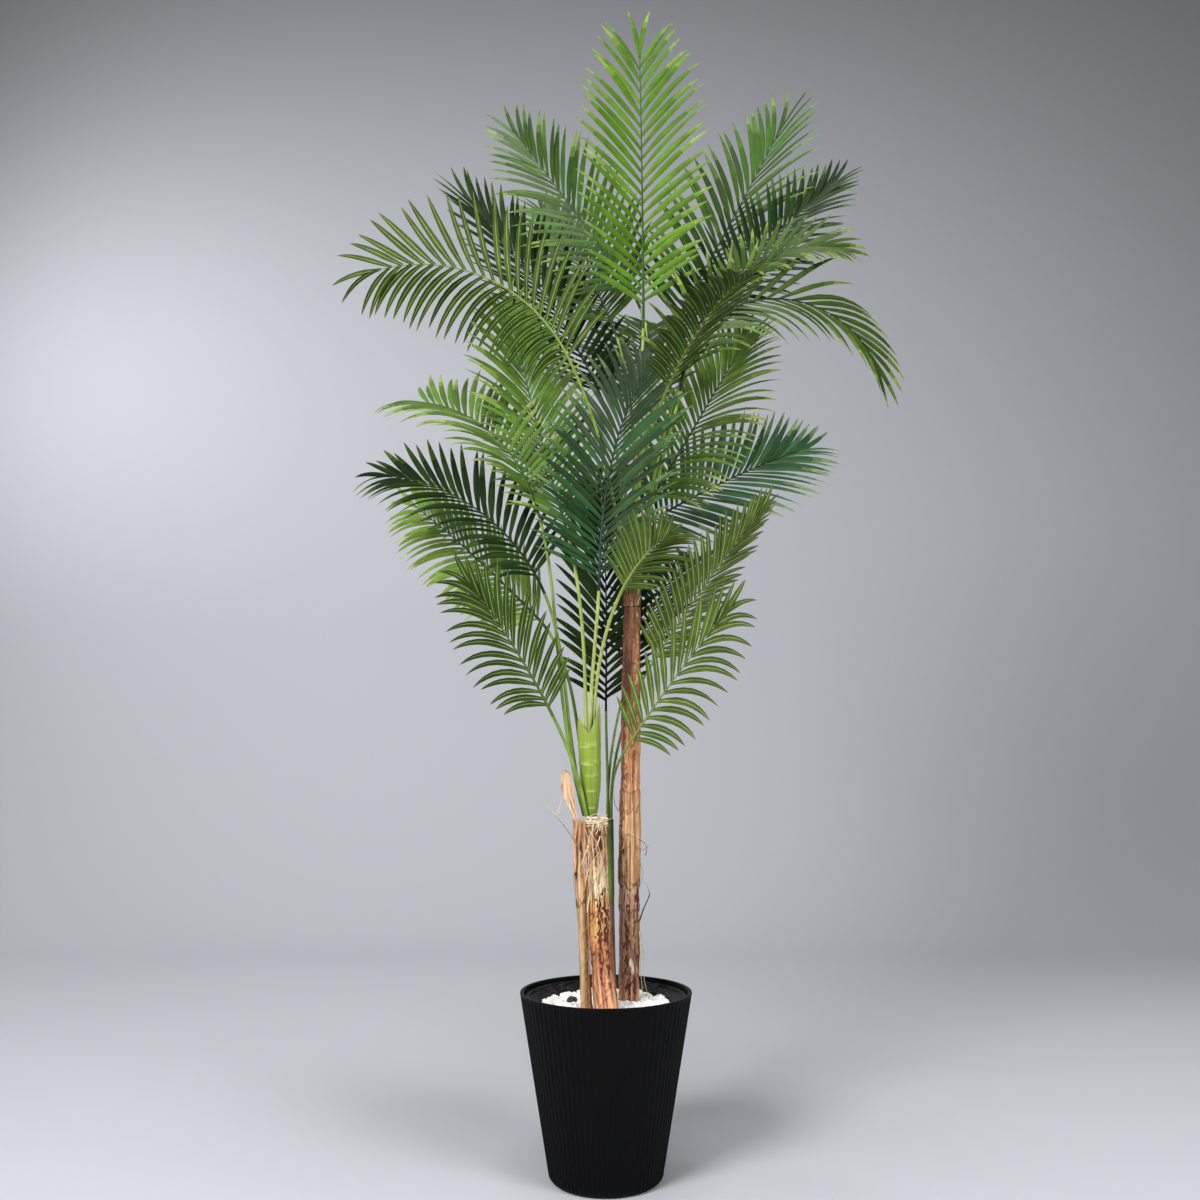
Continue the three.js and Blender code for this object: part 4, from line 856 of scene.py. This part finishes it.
def growTie(materials):
    # turns of fibre round the trunk's top, each wavy and a little aslant; frayed ends stand off its front,
    # each going out by 0.35 length sin(2.2 s)
    look, local = tieLook, np.random.default_rng(90)
    x0, y0 = look["middle"]
    t = np.linspace(0, 2 * np.pi, 73)
    lines, radii = [], []
    for k in range(look["turns"]):
        high = (k - (look["turns"] - 1) / 2) * look["pitch"]
        radius = (look["radius"] - 0.07 * max(high, 0) ** 2 + 0.5 * local.uniform(-1, 1)
                  + 0.6 * np.sin(t * 3 + k) * (k % 2))
        z = look["height"] + high + 1.5 * np.sin(t + k * 1.3) + 0.5 * np.sin(5 * t + k)
        lines.append(circle(radius, t, z, x0, y0))
        radii.append(np.full(len(t), look["thick" if k in look["thickTurns"] else "thin"]))
    wraps = strands("tie_turns", lines, radii, materials, flat=0.6)
    s = np.linspace(0, 1, 12)
    lines, radii = [], []
    for k in range(look["ends"]):
        knot = k < look["knotEnds"]
        a = math.radians(local.uniform(*look["knot" if knot else "beside"]))
        length = local.uniform(8, 24 if knot else 16)
        side = local.uniform(-0.9, 1.1)
        rise = local.uniform(-1.0, 0.9) * (1 if knot else 0.5)
        out = look["radius"] - 0.7 + length * 0.35 * np.sin(s * 2.2)
        x = x0 + out * math.cos(a) + length * side * s
        z = look["height"] + 1 + local.uniform(-4, 4) + length * rise * s - 2.5 * s * s
        lines.append(np.stack([x, y0 + out * math.sin(a), z], -1))
        radii.append(mixed(local.uniform(0.6, 1.3), 0.25, s))
    return wraps, strands("tie_ends", lines, radii, materials)


headLook = {"middle": (50, 30), "height": 984, "radius": 15.6, "tall": (10, 42), "lean": (-2, 9),
            "threads": 46}


def growHeadFibres(materials):
    # stiff threads that stand in a ring round the tall trunk's head, each leaning out by lean s^1.5
    look, local = headLook, np.random.default_rng(94)
    s = np.linspace(0, 1, 9)
    lines, radii = [], []
    for k in range(look["threads"]):
        a = local.uniform(0, 2 * np.pi)
        high = local.uniform(*look["tall"]) * (1.35 if math.cos(a - 0.2) > 0.4 else 0.8)
        r = look["radius"] + local.uniform(*look["lean"]) * s ** 1.5
        swing = a + local.uniform(-0.25, 0.25) * s
        lines.append(circle(r, swing, look["height"] + high * s, *look["middle"]))
        radii.append(mixed(local.uniform(0.5, 1.3), 0.2, s))
    kinds = local.choice([1, 2, 2, 0], look["threads"])
    return strands("head_fibres", lines, radii, materials, 0.4, kinds)


# Pot, liner, cement and chips

def potMaterial():
    # satin black moulded plastic: near-black, broad highlights, faint mould grain
    material, tree, place = newMaterial("black_moulded_plastic", 0x040405, 0.5, shine=0.1)
    grain = objectNoise(tree, place, 0.0012, 2)
    addNode(tree, "Bump", {"Distance": 0.00004, "Strength": 0.5}, {"Height": grain}, to="Normal")
    addNode(tree, "MapRange", {3: 0.42, 4: 0.56}, {0: objectNoise(tree, place, 0.05, 3)}, to="Roughness")
    return material


def linerMaterial():
    # grey-black recycled plastic, speckled with dust and fine chips of stone
    flecks = [(0.48, 0x08080a), (0.6, 0x1c1c1e), (0.74, 0x8c8884)]
    return grained("speckled_inner_plastic", 0x161618, 0.6, (0.0028, 3), flecks, (0.0002, 0.4), shine=0.25)


def stoneMaterial(name, colour, roughness=0.55):
    # crushed white marble: pale with faint warm veins, a slight sparkle
    veins = [(0.3, shade(colour, 0.9)), (0.6, colour)]
    return grained(name, colour, roughness, (0.006, 4), veins, (0.0003, 0.6), bumpGrain=(0.0015, 3))


# mm; the flutes fade out at the chamfer and at the rim
potLook = {"rim": 150.0, "base": 96.0, "height": 300.0, "wall": 7.0, "floor": 8.0, "chamfer": 7.0,
           "flutes": 78, "depth": 1.8, "perFlute": 8}


def growPlanter(material):
    # radius falls in a line from rim to base; a flute takes depth (sin(pi f))^0.7 off it, f across the flute
    p = potLook
    sides = p["flutes"] * p["perFlute"]
    f = (np.arange(sides) % p["perFlute"]) / p["perFlute"]
    groove = p["depth"] * np.sin(np.pi * f) ** 0.7
    wallAt = lambda z: mixed(p["base"], p["rim"], z / p["height"])
    inside = p["rim"] - p["wall"]
    # radius, height and share of the flutes' depth: foot, wall, rim and inside
    rings = [(p["base"] - p["chamfer"], 0.0, 0.0), (wallAt(2.2) - 3.0, 2.2, 0.3),
             (wallAt(p["chamfer"]), p["chamfer"], 1)]
    rings += [(wallAt(z), z, 1) for z in np.linspace(24, p["height"] - 9, 12)]
    rings += [(wallAt(295.5), 295.5, 1), (p["rim"] - 0.2, 297.5, 0.25), (p["rim"] - 0.6, 299.4, 0),
              (p["rim"] - 1.4, 300, 0), (inside + 0.9, 300, 0), (inside, 299.2, 0)]
    rings += [(wallAt(z) - p["wall"], z, 0) for z in (250.0, 150.0, p["floor"])]
    points = np.array([circle(radius - groove * share, ringAngles(sides), z) for radius, z, share in rings])
    faces = tubeFaces(1, len(rings), sides)
    return makeObject("planter_shell", points * mm, faces, [material], sharpAngle=35)


# radius and height (mm): from the floor up to the neck, a stepped lip under the rim, and back down inside
linerProfile = [(84, 8.3), (121, 278), (139.6, 286), (139.6, 292.4), (139.0, 293), (134.5, 293),
                (133.8, 292.2), (133.2, 288.6), (132.2, 288), (129.4, 288), (128.6, 287), (118, 280),
                (81, 11.3)]


def growLiner(material):
    # the profile turned round the axis: (r cos a, r sin a, z)
    sides = 180
    points = np.array([circle(r, ringAngles(sides), z) for r, z in linerProfile])
    return makeObject("liner_ring", points * mm, tubeFaces(1, len(points), sides), [material], sharpAngle=30)


# radii and heights (mm)
bedLook = {"foot": (108, 254.4), "edge": (116.6, 271), "top": (113, 275.5), "heap": 1.2, "sides": 96,
           "rings": 14}


def growBed(material):
    # a low disc under the chips, its top at height + heap noise; its grey is painted shade seen in the gaps
    # between the chips
    look = bedLook
    a = ringAngles(look["sides"])
    radius, height = look["top"]
    points = [circle(r, a, z) for r, z in (look["foot"], look["edge"])]
    for k in range(look["rings"], 0, -1):
        r = radius * k / look["rings"]
        z = height + look["heap"] * valueNoise(a * 0 + r / 9, a / (2 * np.pi) * 12, 31)
        points.append(circle(r, a, z))
    faces = tubeFaces(1, len(points), look["sides"])
    return makeObject("chip_bed", np.array(points) * mm, faces, [material], sharpAngle=60)


chipLook = {
    "count": 520, "small": 5.5, "large": 10.5, "radius": 109.0, "height": 277.0,  # mm, half sizes and the bed
    "second": (0.6, 0.95), "third": (0.42, 0.7),            # a chip's other axes as shares of its longest
    "dark": (-54.0, 6.0), "darkSize": 12.5, "darkLift": 4,  # mm, where the dark one lies
}


def growChips(materials):
    # stones of 20 faces: an icosahedron's corners pushed in and out, flattened, turned any way and set
    # on the bed by the sunflower rule: r = R sqrt(k / n), angle k 137.508 degrees, both shaken
    look, local = chipLook, np.random.default_rng(33)
    g = (1 + 5 ** 0.5) / 2
    corners = unit(np.array([(-1, g, 0), (1, g, 0), (-1, -g, 0), (1, -g, 0), (0, -1, g), (0, 1, g),
                             (0, -1, -g), (0, 1, -g), (g, 0, -1), (g, 0, 1), (-g, 0, -1), (-g, 0, 1)], float))
    trios = np.array([(0, 11, 5), (0, 5, 1), (0, 1, 7), (0, 7, 10), (0, 10, 11), (1, 5, 9), (5, 11, 4),
                      (11, 10, 2), (10, 7, 6), (7, 1, 8), (3, 9, 4), (3, 4, 2), (3, 2, 6), (3, 6, 8),
                      (3, 8, 9), (4, 9, 5), (2, 4, 11), (6, 2, 10), (8, 6, 7), (9, 8, 1)])
    n = look["count"]
    k = np.arange(n) + 0.5
    r = look["radius"] * np.sqrt(k / n) + local.uniform(-2, 2, n)
    a = np.radians(k * 137.508) + local.uniform(-0.03, 0.03, n)
    size = local.uniform(look["small"], look["large"], n) * local.choice([1, 1, 1.25], n)
    dark = np.hypot(r * np.cos(a) - look["dark"][0], r * np.sin(a) - look["dark"][1]).argmin()
    size[dark] = look["darkSize"]
    stone = corners[None] * (1 + local.uniform(-0.28, 0.22, (n, len(corners), 1)))
    axes = [np.ones(n), local.uniform(*look["second"], n), local.uniform(*look["third"], n)]
    x, y, z = np.moveaxis(stone * np.stack(axes, -1)[:, None, :], -1, 0)
    turn = local.uniform(0, 2 * np.pi, n)
    tip = local.uniform(-0.5, 0.5, n)
    y, z = turned(y, z, tip[:, None])
    x, y = turned(x, y, turn[:, None])
    stone = np.stack([x, y, z], -1) * size[:, None, None]
    place = circle(r, a, look["height"] + local.uniform(-1.5, 2.0, n))
    place[dark, 2] += look["darkLift"]
    faces = (trios[None] + len(corners) * np.arange(n)[:, None, None]).reshape(-1, 3)
    kind = local.choice([0, 0, 0, 0, 1, 2], n)
    kind[dark] = 3
    return makeObject("chips", (stone + place[:, None, :]) * mm, faces.tolist(), materials,
                      np.repeat(kind, len(trios)), flat=True)


# Build

print("fronds")
leafSets, ribSets = {}, {}
for tint, hexes in leafColours.items():
    tones = [int(code, 16) for code in hexes.split()]
    parts = ("blade", "blade_second", "near_tip", "tip", "underside", "midrib")
    shine = leafShine.get(tint, leafShine["others"])
    leafSets[tint] = [leafMaterial("leaf_" + tint + "_" + part, tone, shine)
                      for part, tone in zip(parts, tones)]
    ribSets[tint] = [stalkMaterial("rib_above_" + tint, tones[6], shade(tones[6], 1.15)),
                     stalkMaterial("rib_below_" + tint, tones[7], shade(tones[7], 0.9))]
paleStalk = stalkMaterial("pale_stalk", 0x8a9c48, 0xb0bc6c)
greenStalk = stalkMaterial("green_stalk", 0x567426, 0x88a24c)
rows = [dict(zip(frondColumns, values), ring=ring) for ring, table in fronds.items() for values in table]
for index, row in enumerate(rows):
    name = row["name"]
    tint, *shown = leafTints[name].split()
    nodes = ["frond_" + name] + (["frond_" + name + "_end"] if name in splitFronds else [])
    stalk = paleStalk if row["ring"] in ("lowInner", "tallInner") else greenStalk
    dress(growStalk(row, [stalk] + ribSets[tint]), "leaf_" + tint, *nodes)
    leaves = list(leafSets[shown[0] if shown else tint])
    if name in brightTips:
        leaves[2:4] = leafSets["bright"][2:4]
    dress(growLeaflets(row, index, leaves), "leaf_" + tint, *nodes)

print("trunks")
bark = tonedMaterial("palm_bark", 0.86, 0.0024, 14, 0.0008)
dress(growTrunk("front_trunk", bark), "brown_bark", "front_trunk")
dress(growTrunk("tall_trunk", bark), "brown_bark", "tall_trunk")
dress(growTrunk("left_trunk", bark), "beige_bark", "left_trunk")
dress(growFlap(bark), "beige_bark", "left_trunk")
cane = tonedMaterial("smooth_cane", 0.5, 0.004, 10, 0.0002, 0.85, 1.12)
dress(growTrunk("green_cane", cane), "cane", "green_cane")
threads = [fibreMaterial("pale_fibre", 0xeadbb8, 0xc4a878), fibreMaterial("brown_fibre", 0xb88660, 0x7a5236),
           fibreMaterial("dark_fibre", 0x4a3022, 0x281810), fibreMaterial("torn_bark", 0xdcae88, 0xa87850)]
dress(growLoose(threads), "fibre", "front_trunk")
waxy = tonedMaterial("waxy_crownshaft", 0.42, 0.003, 18, 0.0002, 0.86, 1.14)
dress(growCup("crownshaft", waxy), "crownshaft", "crownshaft")
dress(growCup("fibre_sheath", tonedMaterial("head_fibre", 0.85, 0.0018, 12, 0.0006)), "fibre", "fibre_sheath")
dress(growHeadFibres(threads), "fibre", "fibre_sheath")
wraps, ends = growTie([fibreMaterial("raffia", 0xfff8e6, 0xe8d8b0, (6, 6, 1))])
dress(wraps, "raffia", "raffia_tie")
dress(ends, "raffia", "raffia_tie")

print("pot")
dress(growPlanter(potMaterial()), "black_plastic", "planter")
dress(growLiner(linerMaterial()), "inner_plastic", "liner")
stones = [stoneMaterial("white_marble", 0xfbfaf7), stoneMaterial("warm_marble", 0xf6f1ea),
          stoneMaterial("grey_marble", 0xe8e6e4), stoneMaterial("dark_pebble", 0x2a2c2e)]
# the bed's grey is painted shade between the chips
dress(growBed(stoneMaterial("chip_gap_shade", 0x9c9288, 0.8)), "pebbles", "pebbles")
dress(growChips(stones), "pebbles", "pebbles")
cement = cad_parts["cement"]
cement.data.materials.clear()
cement.data.materials.append(stoneMaterial("cement", 0x8d8a84, 0.85))

print("studio")
studioLook = {
    "paper": 0xbabcc1, "room": 0.11, "roomColour": 0xdfe3e8,
    "half": 9.0, "front": -7.0, "bend": 2.2, "bendRadius": 1.6, "top": 8.0,  # the paper sweep, in metres
    # place, aim and diameter (m), watts
    "lamps": {"key": ((-2.0, -2.6, 2.7), (0, 0, 1.1), 1.5, 165),
              "fill": ((2.4, -2.2, 1.9), (0, 0, 1.1), 1.5, 74),
              "top": ((0.0, -0.6, 4.4), (0, 0.4, 1.0), 2.0, 90),
              "wall": ((-3.5, 1.7, 3.2), (-1.4, 3.8, 2.6), 1.2, 48)},
    # the photo's own view: place (m), degrees above the level, mm of lens and sensor, sideways shift
    "camera": {"place": (0, -1.84, 0.655), "pitch": 10.4, "lens": 30, "sensor": 36, "shift": -0.005},
}


def sweep(material):
    # a paper sweep: a flat floor that turns up into the wall along a quarter circle of the bend's radius
    look = studioLook
    turn, radius = np.linspace(0, np.pi / 2, 25), look["bendRadius"]
    y = np.concatenate([[look["front"], 0.0], look["bend"] + radius * np.sin(turn), [look["bend"] + radius]])
    z = np.concatenate([[0.0, 0.0], radius - radius * np.cos(turn), [look["top"]]])
    points = np.array([[x, b, c] for x in (-look["half"], look["half"]) for b, c in zip(y, z)])
    n = len(y)
    faces = [(i, i + n, i + n + 1, i + 1) for i in range(n - 1)]
    return makeObject("paper_sweep", points, faces, [material], sharpAngle=80)


def areaLight(name, place, aim, size, power):
    # a round lamp turned from its place to its aim: pitch atan2(up, along), bearing atan2(y, x)
    lamp = bpy.data.lights.new(name, "AREA")
    lamp.shape, lamp.size, lamp.energy = "DISK", size, power
    item = bpy.data.objects.new(name, lamp)
    item.location = place
    way = np.array(aim) - np.array(place)
    pitch, bearing = math.atan2(way[2], math.hypot(way[0], way[1])), math.atan2(way[1], way[0])
    item.rotation_euler = (math.pi / 2 + pitch, 0, bearing - math.pi / 2)
    bpy.context.scene.collection.objects.link(item)
    return item


paper = newMaterial("matte_grey_paper", studioLook["paper"], 0.95, 1.46)[0]  # soft, without gloss
sweep(paper)
lights = [areaLight(name, *lamp) for name, lamp in studioLook["lamps"].items()]
world = bpy.data.worlds.new("studio")
bpy.context.scene.world = world
world.use_nodes = True
world.node_tree.nodes["Background"].inputs["Color"].default_value = linear(studioLook["roomColour"])
world.node_tree.nodes["Background"].inputs["Strength"].default_value = studioLook["room"]
bpy.context.scene.view_settings.view_transform = "Standard"

view = studioLook["camera"]
camera = bpy.data.objects.new("camera", bpy.data.cameras.new("camera"))
camera.data.lens, camera.data.sensor_width, camera.data.shift_x = view["lens"], view["sensor"], view["shift"]
camera.location = view["place"]
camera.rotation_euler = (math.radians(90 + view["pitch"]), 0, 0)
bpy.context.scene.collection.objects.link(camera)
bpy.context.scene.camera = camera
